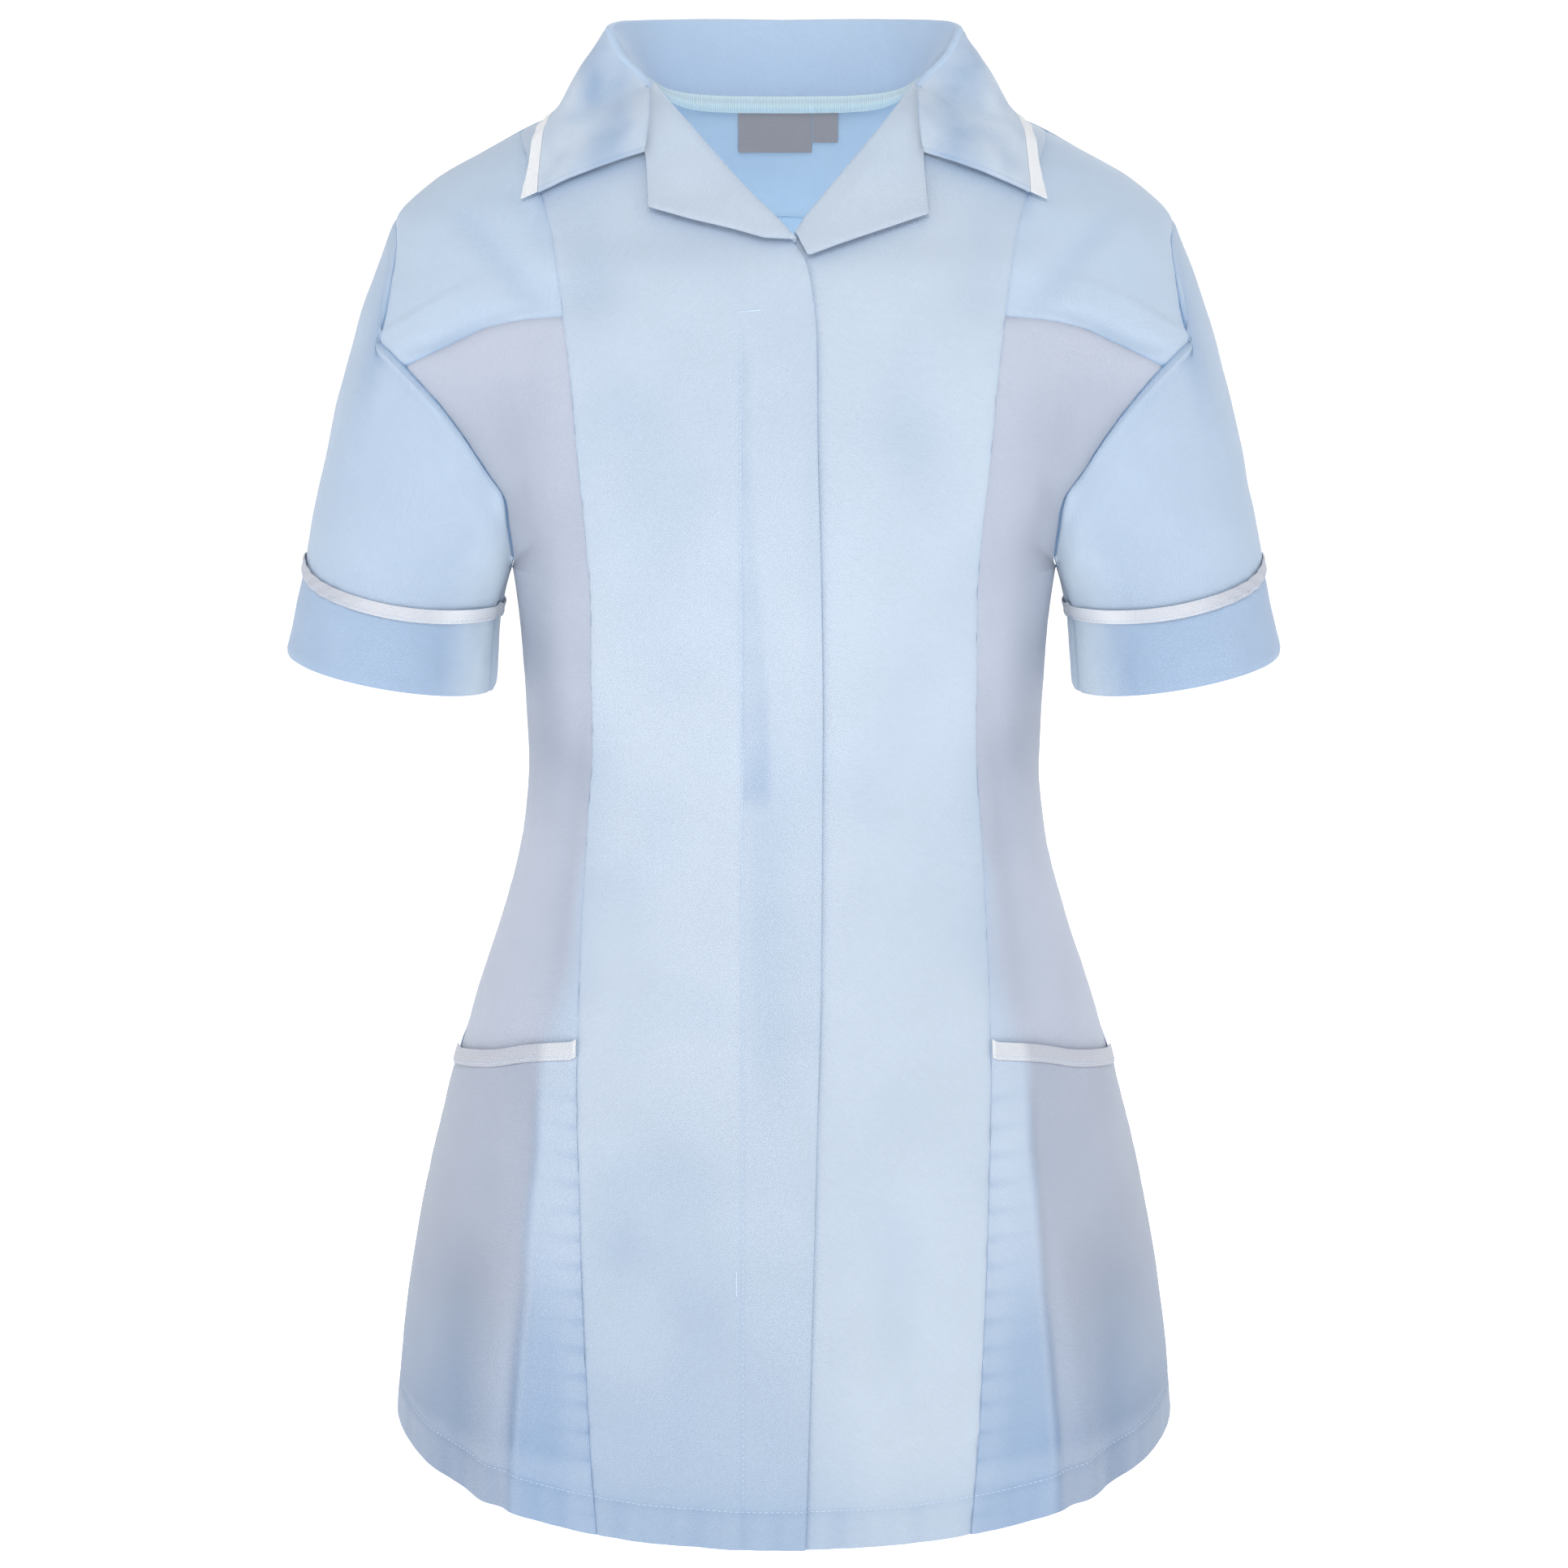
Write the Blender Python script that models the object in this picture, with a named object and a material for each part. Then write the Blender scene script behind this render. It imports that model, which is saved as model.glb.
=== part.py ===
"""A short-sleeved work tunic in pale blue cloth, filled out as it is when worn, with nobody in it.

Each piece that a maker cuts and sews is one object, a wall of cloth with its real place on the form.
+X is the wearer's left, -Y is the front and +Z is up. The origin is midway between the two high
shoulder points, where the collar meets the shoulder seams. The tables are in millimetres. A drop is
a distance below the origin, and an angle goes round the form from the centre front (0) over the
wearer's left side (90) to the centre back (180) and the right side (270, or -90).
"""

import math

import bpy
import numpy as np

for thing in list(bpy.data.objects):
    bpy.data.objects.remove(thing, do_unlink=True)

MM = 0.001

# Cloth, in millimetres
WALL = 1.2
DOUBLE_WALL = 1.8
TRIM_WALL = 1.0
SEAM_GAP = 0.3
LYING_GAP = 0.5
HEM_HEIGHT = 19.0
HEM_EXTRA_WALL = 0.7

# Main sizes, in millimetres
HEM_DROP_FRONT = 703.0
HEM_DROP_SIDE = 685.0
HEM_DROP_BACK = 700.0
HEM_POWER = 3
BRAID_WIDTH = 8.0

BACK, SIDE = 180.0, 90.0


def table(names, rows):
    """Rows of numbers as named columns."""
    return dict(zip(names.split(), np.array(rows, float).T))


# Level sections of the worn form, as rounded ellipses: half its width, how far the front and the
# back stand from the side seams, and the power of the curve, where 2 is an ellipse.
FORM = table("drop half_width front back power", [
    (0, 66, 38, 50, 2.0),
    (8, 92, 46, 55, 2.0),
    (16, 118, 51, 59, 2.0),
    (30, 145, 58, 66, 2.05),
    (45, 172, 67, 72, 2.1),
    (64, 191.5, 80, 80, 2.2),
    (80, 197, 92, 86, 2.2),
    (100, 203, 100, 92, 2.25),
    (122, 207, 107, 97, 2.25),
    (137, 202, 111, 99, 2.25),
    (168, 178, 118, 102, 2.25),
    (195, 156.6, 121, 102, 2.25),
    (215, 143.4, 120, 100, 2.25),
    (226, 139.2, 118.8, 98.6, 2.25),
    (237, 136.5, 117, 97, 2.25),
    (285, 132, 107, 88, 2.25),
    (340, 130, 98, 84, 2.25),
    (374, 133.5, 98, 87, 2.25),
    (409, 142, 101, 92, 2.25),
    (461, 159, 109, 103, 2.2),
    (513, 173.4, 120, 114, 2.2),
    (567, 186.3, 130, 125, 2.15),
    (621, 195.9, 140, 135, 2.1),
    (660, 200.9, 147, 141, 2.1),
    (710, 204.8, 154, 147, 2.1),
])

# The seams, each on one half of the form. x is the distance from the middle, and one that is past
# the form's half width puts the point on the line down its side.
FRONT_PRINCESS = table("drop x", [
    (20.5, 130), (34, 123.7), (48, 117), (70, 110), (103, 105), (133, 101), (171, 98), (206, 95),
    (244, 93.5), (294, 94.6), (349, 98.3), (372, 100), (400, 101.5), (440, 102.7), (470, 102.7),
    (507, 102), (585, 100), (665, 96), (703, 93),
])
ARCH = table("x drop", [(105, 103), (120, 104.5), (141, 109), (161, 118.5), (184, 131)])
FRONT_ARMHOLE = table("drop x", [
    (64, 191.5), (74, 189.5), (89, 191), (112, 195), (119.5, 198), (125, 191), (131, 184),
    (160, 159), (184, 143.5), (194, 137), (205, 135.5), (228, 134), (237, 136.5),
])
BACK_ARMHOLE = table("drop x", [
    (64, 191.5), (80, 184), (97, 178), (125, 168), (150, 160), (175, 149), (200, 140), (220, 135),
    (237, 136.5),
])
YOKE_SEAM = table("x drop", [(0, 69), (50, 72), (105, 80), (150, 89), (178, 97)])
BACK_NECK = table("place x drop", [
    (0, 0, 12.3), (1, 26, 12), (2, 46, 10.5), (3, 59, 6.4), (4, 66, 0),
])
BACK_PRINCESS = table("drop x", [
    (80, 105), (130, 98), (200, 84), (280, 73), (340, 70), (420, 77), (520, 88), (620, 95), (703, 98),
])

# Inner edges of the two fronts. Each runs from the high shoulder point down the neck seam and the
# roll line of its lapel to the break, and on to the hem. Here x is signed.
RIGHT_EDGE = table("drop x", [
    (0, -66), (1.9, -63.2), (18.8, -46), (35.9, -30.2), (52.9, -14.4), (70, 4.8), (80, 10.9),
    (95, 13.8), (113, 15.4), (161, 15.8), (219, 17.4), (301, 18.6), (423, 18.1), (501, 16.1),
    (580, 14.1), (659, 11.8), (703, 10.6),
])
LEFT_EDGE = table("drop x", [
    (0, 66), (1.9, 63.2), (18.8, 48.2), (35.9, 33), (52.9, 18), (68, 4.5), (84, -12), (95, -17),
    (113, -18), (423, -18.5), (580, -20), (703, -21),
])

# The right front lies over the left one and is raised there.
OVERLAP_RISE = WALL + 0.7
OVERLAP_X = (-46.0, -23.0)
OVERLAP_DROP = (38.0, 58.0)

# The largest folds, on each side: a ridge has a positive height, a trough a negative one. The last
# column is 1 on the front and -1 on the back. x is given for the right side, and on the left side the
# same fold lies farther out by LEFT_SHIFT.
FOLDS = table("x_top drop_top x_bottom drop_bottom half_span height face", [
    (121, 480, 122, 575, 15, 3.2, 1),
    (122, 560, 138, 690, 16, 3.0, 1),
    (157, 560, 163, 700, 14, -2.2, 1),
    (96, 293, 113, 460, 17, -2.4, 1),
    (128, 255, 112, 330, 14, -2.0, 1),
    (104, 480, 118, 700, 22, 3.4, -1),
    (150, 500, 160, 700, 18, -2.6, -1),
    (60, 270, 88, 420, 17, -2.2, -1),
    (30, 560, 38, 700, 22, 2.4, -1),
])
LEFT_SHIFT = 3.0
# Shares of a fold's length over which it comes up out of the cloth and dies away again
FOLD_START = (-0.15, 0.25)
FOLD_END = (0.75, 1.15)
# A fold fades away towards the side seams, where the front and the back meet. These are cosines
# of the angle round the form.
SIDE_FADE = (0.03, 0.28)
# The step of drop over which the slope of the form is taken
SLOPE_STEP = 1.0


def smooth_curve(value, given, wanted):
    """A smooth curve through a table's points that never overshoots them."""
    steps = np.diff(given)
    slopes = np.diff(wanted) / steps
    tangents = np.zeros(len(given))
    for row in range(1, len(given) - 1):
        before, after = slopes[row - 1], slopes[row]
        if before * after > 0:
            near = 2 * steps[row] + steps[row - 1]
            far = steps[row] + 2 * steps[row - 1]
            tangents[row] = (near + far) / (near / before + far / after)
    tangents[0], tangents[-1] = slopes[0], slopes[-1]
    value = np.clip(np.asarray(value, float), given[0], given[-1])
    row = np.clip(np.searchsorted(given, value) - 1, 0, len(given) - 2)
    part = (value - given[row]) / steps[row]
    start = (1 + 2 * part) * (1 - part) ** 2 * wanted[row]
    end = part ** 2 * (3 - 2 * part) * wanted[row + 1]
    leaving = part * (1 - part) ** 2 * steps[row] * tangents[row]
    arriving = part ** 2 * (part - 1) * steps[row] * tangents[row + 1]
    return start + end + leaving + arriving


def ease(value, low, high):
    """0 below low, 1 above high, and a soft step between."""
    part = np.clip((value - low) / (high - low), 0, 1)
    return part * part * (3 - 2 * part)


def section(drop):
    """Half width, front, back and power of the form at a drop."""
    return [smooth_curve(drop, FORM["drop"], FORM[name])
            for name in ("half_width", "front", "back", "power")]


def angle_at(x, drop, face):
    """The angle of the form's points with this signed x, on the front (face 1) or the back (-1)."""
    x = np.asarray(x, float)
    half_width, _, _, power = section(drop)
    share = np.clip(np.abs(x) / half_width, 0, 1) ** (power / 2)
    turn = np.degrees(np.arcsin(share)) * np.where(x < 0, -1, 1)
    return turn if face > 0 else BACK - turn


def fold_height(x, drop, face, side):
    """How far the folds move the cloth out of the plain form."""
    height = np.zeros(np.shape(x))
    for row in range(len(FOLDS["face"])):
        fold = {name: values[row] for name, values in FOLDS.items()}
        if fold["face"] != face:
            continue
        along = (drop - fold["drop_top"]) / (fold["drop_bottom"] - fold["drop_top"])
        middle = fold["x_top"] + along * (fold["x_bottom"] - fold["x_top"])
        middle = middle + LEFT_SHIFT * (side > 0)
        away = (np.abs(x) - middle) / fold["half_span"]
        bell = np.exp(-away ** 2)
        reaches_hem = fold["drop_bottom"] > HEM_DROP_SIDE - HEM_HEIGHT
        fade = ease(along, *FOLD_START) * (1.0 if reaches_hem else 1 - ease(along, *FOLD_END))
        height = height + fold["height"] * bell * fade
    return height


def plain_point(angle, drop):
    half_width, front, back, power = section(drop)
    turn = np.radians(angle)
    across = np.sign(np.sin(turn)) * np.abs(np.sin(turn)) ** (2 / power) * half_width
    depth = np.where(np.cos(turn) >= 0, front, back)
    towards = -np.sign(np.cos(turn)) * np.abs(np.cos(turn)) ** (2 / power) * depth
    return np.stack([across, towards, -np.asarray(drop, float)], -1)


def outward(point):
    """The direction out of the form at a point of it."""
    x, y, z = point[..., 0], point[..., 1], point[..., 2]

    def level(drop):
        half_width, front, back, power = section(drop)
        depth = np.where(y <= 0, front, back)
        return (np.abs(x) / half_width) ** power + (np.abs(y) / depth) ** power

    half_width, front, back, power = section(-z)
    depth = np.where(y <= 0, front, back)
    slope = np.stack([
        power * np.sign(x) * np.abs(x) ** (power - 1) / half_width ** power,
        power * np.sign(y) * np.abs(y) ** (power - 1) / depth ** power,
        (level(-z - SLOPE_STEP / 2) - level(-z + SLOPE_STEP / 2)) / SLOPE_STEP,
    ], -1)
    return slope / np.linalg.norm(slope, axis=-1, keepdims=True)


def on_form(angle, drop, out=0.0):
    """Points on the outside of the cloth, moved out of it by out."""
    angle, drop = np.broadcast_arrays(np.asarray(angle, float), np.asarray(drop, float))
    point = plain_point(angle, drop)
    lift = np.zeros(angle.shape)
    for face in (1, -1):
        for side in (1, -1):
            here = (point[..., 1] * face <= 0) & (point[..., 0] * side >= 0)
            lift = np.where(here, fold_height(point[..., 0], drop, face, side), lift)
    fade = ease(np.abs(np.cos(np.radians(angle))), *SIDE_FADE)
    return point + outward(point) * (lift * fade + out)[..., None]


def seam(curve, drops, side, face):
    """Angle and drop of points of a seam, at the given drops."""
    drops = np.asarray(drops, float)
    x = side * smooth_curve(drops, curve["drop"], curve["x"])
    return np.stack([angle_at(x, drops, face), drops], -1)


def cross_seam(curve, xs, side, face):
    """Angle and drop of points of a seam that runs across, at the given distances from the middle."""
    drops = smooth_curve(xs, curve["x"], curve["drop"])
    return np.stack([angle_at(side * np.asarray(xs, float), drops, face), drops], -1)


def straight(side, drops, face):
    """The line down the side of the form: the shoulder seam, and the side seam under the arm."""
    angle = side * SIDE if face > 0 else BACK - side * SIDE
    return np.stack([np.full(len(drops), angle), np.asarray(drops, float)], -1)


def hem_drop(angle):
    """The hem is lowest at the middle of the front and of the back, and rises most near the sides."""
    middle = np.where(np.cos(np.radians(angle)) >= 0, HEM_DROP_FRONT, HEM_DROP_BACK)
    return middle + (HEM_DROP_SIDE - middle) * np.abs(np.sin(np.radians(angle))) ** HEM_POWER


def to_hem(edge):
    """The same edge, with its last point on the hem."""
    edge = np.array(edge)
    edge[-1, 1] = hem_drop(edge[-1, 0])
    return edge


def hem_edge(first, last, shares):
    """Angle and drop along the hem between two corners, at shares of the way between them."""
    angles = first[0] + (last[0] - first[0]) * np.asarray(shares)
    return np.stack([angles, hem_drop(angles)], -1)


def even(count):
    return np.linspace(0, 1, count + 1)


def lengths(edge):
    """Share of the way along an edge at each of its points."""
    point = on_form(edge[:, 0], edge[:, 1])
    run = np.concatenate([[0], np.cumsum(np.linalg.norm(np.diff(point, axis=0), axis=1))])
    return run / run[-1]


def patch(top, bottom, first, last, run=lengths):
    """A grid that fills four edges: rows go down, and columns from the first edge to the last."""
    across = (run(top) + run(bottom)) / 2
    down = (run(first) + run(last)) / 2
    u, v = across[None, :, None], down[:, None, None]
    between = (1 - v) * top[None] + v * bottom[None] + (1 - u) * first[:, None] + u * last[:, None]
    corners = ((1 - u) * (1 - v) * top[0] + u * (1 - v) * top[-1]
               + (1 - u) * v * bottom[0] + u * v * bottom[-1])
    return between - corners


# The least squared sine of the angle between a piece's edge and the lines of points that meet it
LEAST_SLANT = 0.15


def trimmed(points, amount=SEAM_GAP / 2):
    """A grid of points with its four edges drawn in, square to the edge, by amount."""
    result = points.copy()
    rows, columns = points.shape[:2]
    for axis, count in ((0, rows), (1, columns)):
        for edge, inner in ((0, 1), (count - 1, count - 2)):
            rim = points.take(edge, axis)
            inward = points.take(inner, axis) - rim
            size = np.linalg.norm(inward, axis=-1, keepdims=True)
            inward = inward / np.maximum(size, 1e-6)
            tangent = np.gradient(rim, axis=0)
            tangent /= np.maximum(np.linalg.norm(tangent, axis=-1, keepdims=True), 1e-6)
            slant = 1 - (inward * tangent).sum(-1, keepdims=True) ** 2
            square = np.sqrt(np.maximum(slant, LEAST_SLANT))
            move = inward * np.minimum(amount / square, size / 3)
            if axis == 0:
                result[edge] += move
            else:
                result[:, edge] += move
    return result


def grid_faces(rows, columns, closed):
    """Quads of a grid whose columns may close round a tube."""
    faces = []
    for row in range(rows - 1):
        for column in range(columns if closed else columns - 1):
            after = (column + 1) % columns
            faces.append((row * columns + column, (row + 1) * columns + column,
                          (row + 1) * columns + after, row * columns + after))
    return faces


def vertex_normals(points, faces):
    """The mean direction of the faces round each point."""
    normals = np.zeros(points.shape)
    for face in faces:
        corners = points[list(face)]
        turn = np.cross(corners[2] - corners[0], corners[3] - corners[1])
        for corner in face:
            normals[corner] += turn
    return normals / np.linalg.norm(normals, axis=1, keepdims=True)


# Two faces that meet at more than this angle keep a crisp edge.
CRISP_EDGE = math.radians(50)


def colour_of(red, green, blue):
    """A material colour from a screen colour of 0 to 255."""
    return [((part / 255 + 0.055) / 1.055) ** 2.4 for part in (red, green, blue)]


def cloth_material(name, screen_colour, roughness):
    material = bpy.data.materials.new(name)
    material.use_nodes = True
    shader = material.node_tree.nodes["Principled BSDF"]
    shader.inputs["Base Color"].default_value = (*colour_of(*screen_colour), 1)
    shader.inputs["Roughness"].default_value = roughness
    shader.inputs["Metallic"].default_value = 0.0
    material.diffuse_color = (*colour_of(*screen_colour), 1)
    return material


def wall(name, points, normals, faces, thickness, material):
    """A closed wall of cloth. Its outside is the given surface, and its inside lies under it."""
    count = len(points)
    thickness = np.broadcast_to(np.asarray(thickness, float).reshape(-1, 1), (count, 1))
    inner = points - normals * thickness
    edges = {}
    for face in faces:
        for start, end in zip(face, face[1:] + face[:1]):
            edges[(start, end)] = edges.get((start, end), 0) + 1
    rim = [(end, start, start + count, end + count)
           for start, end in edges if (end, start) not in edges]
    below = [tuple(corner + count for corner in reversed(face)) for face in faces]
    mesh = bpy.data.meshes.new(name)
    mesh.from_pydata((np.concatenate([points, inner]) * MM).tolist(), [], list(faces) + below + rim)
    mesh.validate()
    mesh.shade_smooth()
    mesh.set_sharp_from_angle(angle=CRISP_EDGE)
    mesh.materials.append(material)
    piece = bpy.data.objects.new(name, mesh)
    bpy.context.scene.collection.objects.link(piece)
    return piece


def panel(name, grid, material, out=0.0, thickness=WALL, gap=SEAM_GAP / 2):
    """A piece that follows the form, from its grid of angles and drops."""
    flip = on_form(*grid[0, 0]), on_form(*grid[0, -1]), on_form(*grid[-1, 0])
    middle = grid[grid.shape[0] // 2, grid.shape[1] // 2]
    facing = np.dot(np.cross(flip[2] - flip[0], flip[1] - flip[0]), outward(on_form(*middle)))
    if facing < 0:
        grid = grid[:, ::-1]
        out = out[:, ::-1] if np.ndim(out) else out
        thickness = thickness[:, ::-1] if np.ndim(thickness) else thickness
    points = trimmed(on_form(grid[..., 0], grid[..., 1], out), gap)
    rows, columns = grid.shape[:2]
    normals = outward(plain_point(grid[..., 0], grid[..., 1]))
    return wall(name, points.reshape(-1, 3), normals.reshape(-1, 3),
                grid_faces(rows, columns, False), np.broadcast_to(thickness, (rows, columns)), material)


def hem_wall(grid):
    """The wall is double inside the turned-up hem."""
    above = hem_drop(grid[..., 0]) - grid[..., 1]
    return WALL + HEM_EXTRA_WALL * (above < HEM_HEIGHT + 1)


# Rows of points that the panels share. The last rows are the two sides of the hem.
UPPER_PRINCESS = [20.5, 30, 42, 54, 66, 79, 91, 103]
MIDDLE_PRINCESS = [103, 126, 148, 170, 192, 215, 237]
LOWER = [237, 262, 288, 314, 340, 366, 392, 418, 444, 470, 496, 523, 550, 577, 604, 631, 657, 682, 703]
UPPER_EDGE = [0, 1.9, 18.8, 35.9, 52.9, 70, 86, 103]
UPPER_ARMHOLE = [64, 74, 84, 95, 106, 116, 124, 131]
MIDDLE_ARMHOLE = [131, 148, 166, 184, 203, 222, 237]
BACK_UPPER_ARMHOLE = [64, 75, 86, 97]
BACK_LOWER_ARMHOLE = [97, 120, 144, 168, 192, 216, 237]
BACK_UPPER_PRINCESS = [80, 106, 132, 158, 184, 210, 237]
SHOULDER_OUTER = [20.5, 27, 34, 41, 48, 56, 64]
SHOULDER_INNER = [0, 2.4, 5.6, 10, 15, 20.5]
# The columns of a centre front, from its inner edge out. One lies on the other front's edge.
FRONT_SHARES = [0, 0.165, 0.335, 0.55, 0.775, 1]
FRONT_COLUMNS = len(SHOULDER_INNER) - 1
SIDE_COLUMNS = len(SHOULDER_OUTER) - 1
BACK_HALF_COLUMNS = 4
NECK_HALF_COLUMNS = 8

CENTRE_BLUE = cloth_material("centre_cloth", (211, 226, 243), 0.72)
SIDE_BLUE = cloth_material("side_cloth", (197, 211, 234), 0.74)
SLEEVE_BLUE = cloth_material("sleeve_cloth", (188, 212, 239), 0.72)
COLLAR_BLUE = cloth_material("collar_cloth", (190, 212, 238), 0.7)
WHITE = cloth_material("white_braid", (240, 243, 248), 0.8)
LABEL_GREY = cloth_material("label_weave", (146, 148, 156), 0.6)

SIDES = (("right", -1), ("left", 1))


def centre_front_grid(side, edge_curve):
    """From the shoulder seam and the roll line of the lapel down to the hem."""
    princess = seam(FRONT_PRINCESS, UPPER_PRINCESS + MIDDLE_PRINCESS[1:] + LOWER[1:], side, 1)
    drops = np.array(UPPER_EDGE + MIDDLE_PRINCESS[1:] + LOWER[1:], float)
    x = np.interp(drops, edge_curve["drop"], edge_curve["x"])
    inner = to_hem(np.stack([angle_at(x, drops, 1), drops], -1))
    outer = to_hem(princess)
    return patch(straight(side, SHOULDER_INNER, 1), hem_edge(inner[-1], outer[-1], FRONT_SHARES),
                 inner, outer)


def overlap_rise(grid):
    """How far the right front is raised where the left one lies under it."""
    x = plain_point(grid[..., 0], grid[..., 1])[..., 0]
    return OVERLAP_RISE * ease(x, *OVERLAP_X) * ease(grid[..., 1], *OVERLAP_DROP)


# The two centre fronts. The right one lies over the left one, and the fastening between them is
# hidden by it.
right_grid = centre_front_grid(-1, RIGHT_EDGE)
right_rise = overlap_rise(right_grid)
right_wall = np.where(right_rise > 0, WALL, hem_wall(right_grid))
panel("front_centre_right", right_grid, CENTRE_BLUE, right_rise, right_wall)
left_grid = centre_front_grid(1, LEFT_EDGE)
panel("front_centre_left", left_grid, CENTRE_BLUE, 0.0, hem_wall(left_grid))

# The front shoulder pieces, between the shoulder seam, the princess seam, the arched bust seam and
# the armhole, and under them the side fronts, down to the hem.
ARCH_XS = np.linspace(ARCH["x"][0], ARCH["x"][-1], SIDE_COLUMNS + 1)
side_front_grids = {}
for name, side in SIDES:
    arch = cross_seam(ARCH, ARCH_XS, side, 1)
    upper = patch(straight(side, SHOULDER_OUTER, 1), arch,
                  seam(FRONT_PRINCESS, UPPER_PRINCESS, side, 1),
                  seam(FRONT_ARMHOLE, UPPER_ARMHOLE, side, 1))
    panel(f"front_shoulder_{name}", upper, SIDE_BLUE)
    inner = to_hem(seam(FRONT_PRINCESS, MIDDLE_PRINCESS + LOWER[1:], side, 1))
    outer = to_hem(np.concatenate([seam(FRONT_ARMHOLE, MIDDLE_ARMHOLE, side, 1),
                                   straight(side, LOWER[1:], 1)]))
    lower = patch(arch, hem_edge(inner[-1], outer[-1], even(SIDE_COLUMNS)), inner, outer)
    side_front_grids[side] = lower
    panel(f"front_side_{name}", lower, SIDE_BLUE, 0.0, hem_wall(lower))

# The back: a yoke over the shoulders, a centre back and two side backs.
CENTRE_XS = np.linspace(0, BACK_PRINCESS["x"][0], BACK_HALF_COLUMNS + 1)
OUTER_XS = np.linspace(BACK_PRINCESS["x"][0], YOKE_SEAM["x"][-1], SIDE_COLUMNS + 1)
YOKE_HALF_COLUMNS = NECK_HALF_COLUMNS + FRONT_COLUMNS + SIDE_COLUMNS
yoke_tops, yoke_bottoms, yoke_sides = [], [], []


def back_neck(places, side):
    """Angle and drop of the neck seam, from the back centre (0) to the high shoulder point (4)."""
    x = smooth_curve(places, BACK_NECK["place"], BACK_NECK["x"])
    drop = smooth_curve(places, BACK_NECK["place"], BACK_NECK["drop"])
    return np.stack([angle_at(side * x, drop, -1), drop], -1)


for name, side in SIDES:
    neck = back_neck(np.linspace(0, BACK_NECK["place"][-1], NECK_HALF_COLUMNS + 1), side)
    yoke_tops.append(np.concatenate([neck, straight(side, SHOULDER_INNER[1:], -1),
                                     straight(side, SHOULDER_OUTER[1:], -1)]))
    bottom_xs = np.linspace(0, YOKE_SEAM["x"][-1], YOKE_HALF_COLUMNS + 1)
    yoke_bottoms.append(cross_seam(YOKE_SEAM, bottom_xs, side, -1))
    yoke_sides.append(seam(BACK_ARMHOLE, BACK_UPPER_ARMHOLE, side, -1))
    inner = to_hem(seam(BACK_PRINCESS, BACK_UPPER_PRINCESS + LOWER[1:], side, -1))
    outer = to_hem(np.concatenate([seam(BACK_ARMHOLE, BACK_LOWER_ARMHOLE, side, -1),
                                   straight(side, LOWER[1:], -1)]))
    side_back = patch(cross_seam(YOKE_SEAM, OUTER_XS, side, -1),
                      hem_edge(inner[-1], outer[-1], even(SIDE_COLUMNS)), inner, outer)
    panel(f"back_side_{name}", side_back, SIDE_BLUE, 0.0, hem_wall(side_back))


def across(halves):
    """One line from the right side to the left, from two that run out from the middle."""
    right, left = halves
    return np.concatenate([right[::-1], left[1:]])


yoke = patch(across(yoke_tops), across(yoke_bottoms), *yoke_sides)
panel("back_yoke", yoke, SIDE_BLUE)
centre_sides = [to_hem(seam(BACK_PRINCESS, BACK_UPPER_PRINCESS + LOWER[1:], side, -1))
                for _, side in SIDES]
centre_back = patch(across([cross_seam(YOKE_SEAM, CENTRE_XS, side, -1) for _, side in SIDES]),
                    hem_edge(centre_sides[0][-1], centre_sides[1][-1], even(2 * BACK_HALF_COLUMNS)),
                    *centre_sides)
panel("back_centre", centre_back, SIDE_BLUE, 0.0, hem_wall(centre_back))


# The pockets lie on the side fronts from the mouth to the hem, sewn in at the seams beside them, and
# white braid binds the mouth.
POCKET_MOUTH = table("share drop", [
    (0, 461), (0.27, 467.9), (0.45, 474.8), (0.7, 482.3), (0.85, 486.8), (1, 490.8),
])
POCKET_ROWS = [0, 0.037, 0.12, 0.23, 0.34, 0.45, 0.56, 0.67, 0.78, 0.89, 1]
POCKET_CLEARANCE = 1.1
POCKET_FULLNESS = 1.2
BRAID_ABOVE_EDGE = 0.6


def pocket_grid(below, drops_of):
    """A grid on the columns of a side front, at drops worked out for each column."""
    columns = below.shape[1]
    shares = even(columns - 1)
    rows = []
    for column in range(columns):
        drops = drops_of(shares[column], below[-1, column, 1])
        angles = np.interp(drops, below[:, column, 1], below[:, column, 0])
        rows.append(np.stack([angles, drops], -1))
    return np.stack(rows, 1)


def pocket_rise(columns):
    """A pocket stands off its panel most in the middle of its width."""
    return WALL + POCKET_CLEARANCE + POCKET_FULLNESS * np.sin(np.pi * even(columns - 1))[None]


def pocket_drops(share, hem):
    mouth = smooth_curve(share, POCKET_MOUTH["share"], POCKET_MOUTH["drop"])
    return mouth + (hem - mouth) * np.array(POCKET_ROWS)


def braid_drops(share, hem):
    mouth = smooth_curve(share, POCKET_MOUTH["share"], POCKET_MOUTH["drop"])
    return mouth + np.array([-BRAID_ABOVE_EDGE, BRAID_WIDTH])


for name, side in SIDES:
    below = side_front_grids[side]
    rise = pocket_rise(below.shape[1])
    panel(f"pocket_{name}", pocket_grid(below, pocket_drops), SIDE_BLUE, rise)
    panel(f"pocket_braid_{name}", pocket_grid(below, braid_drops), WHITE,
          rise + TRIM_WALL + LYING_GAP, TRIM_WALL)

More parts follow.
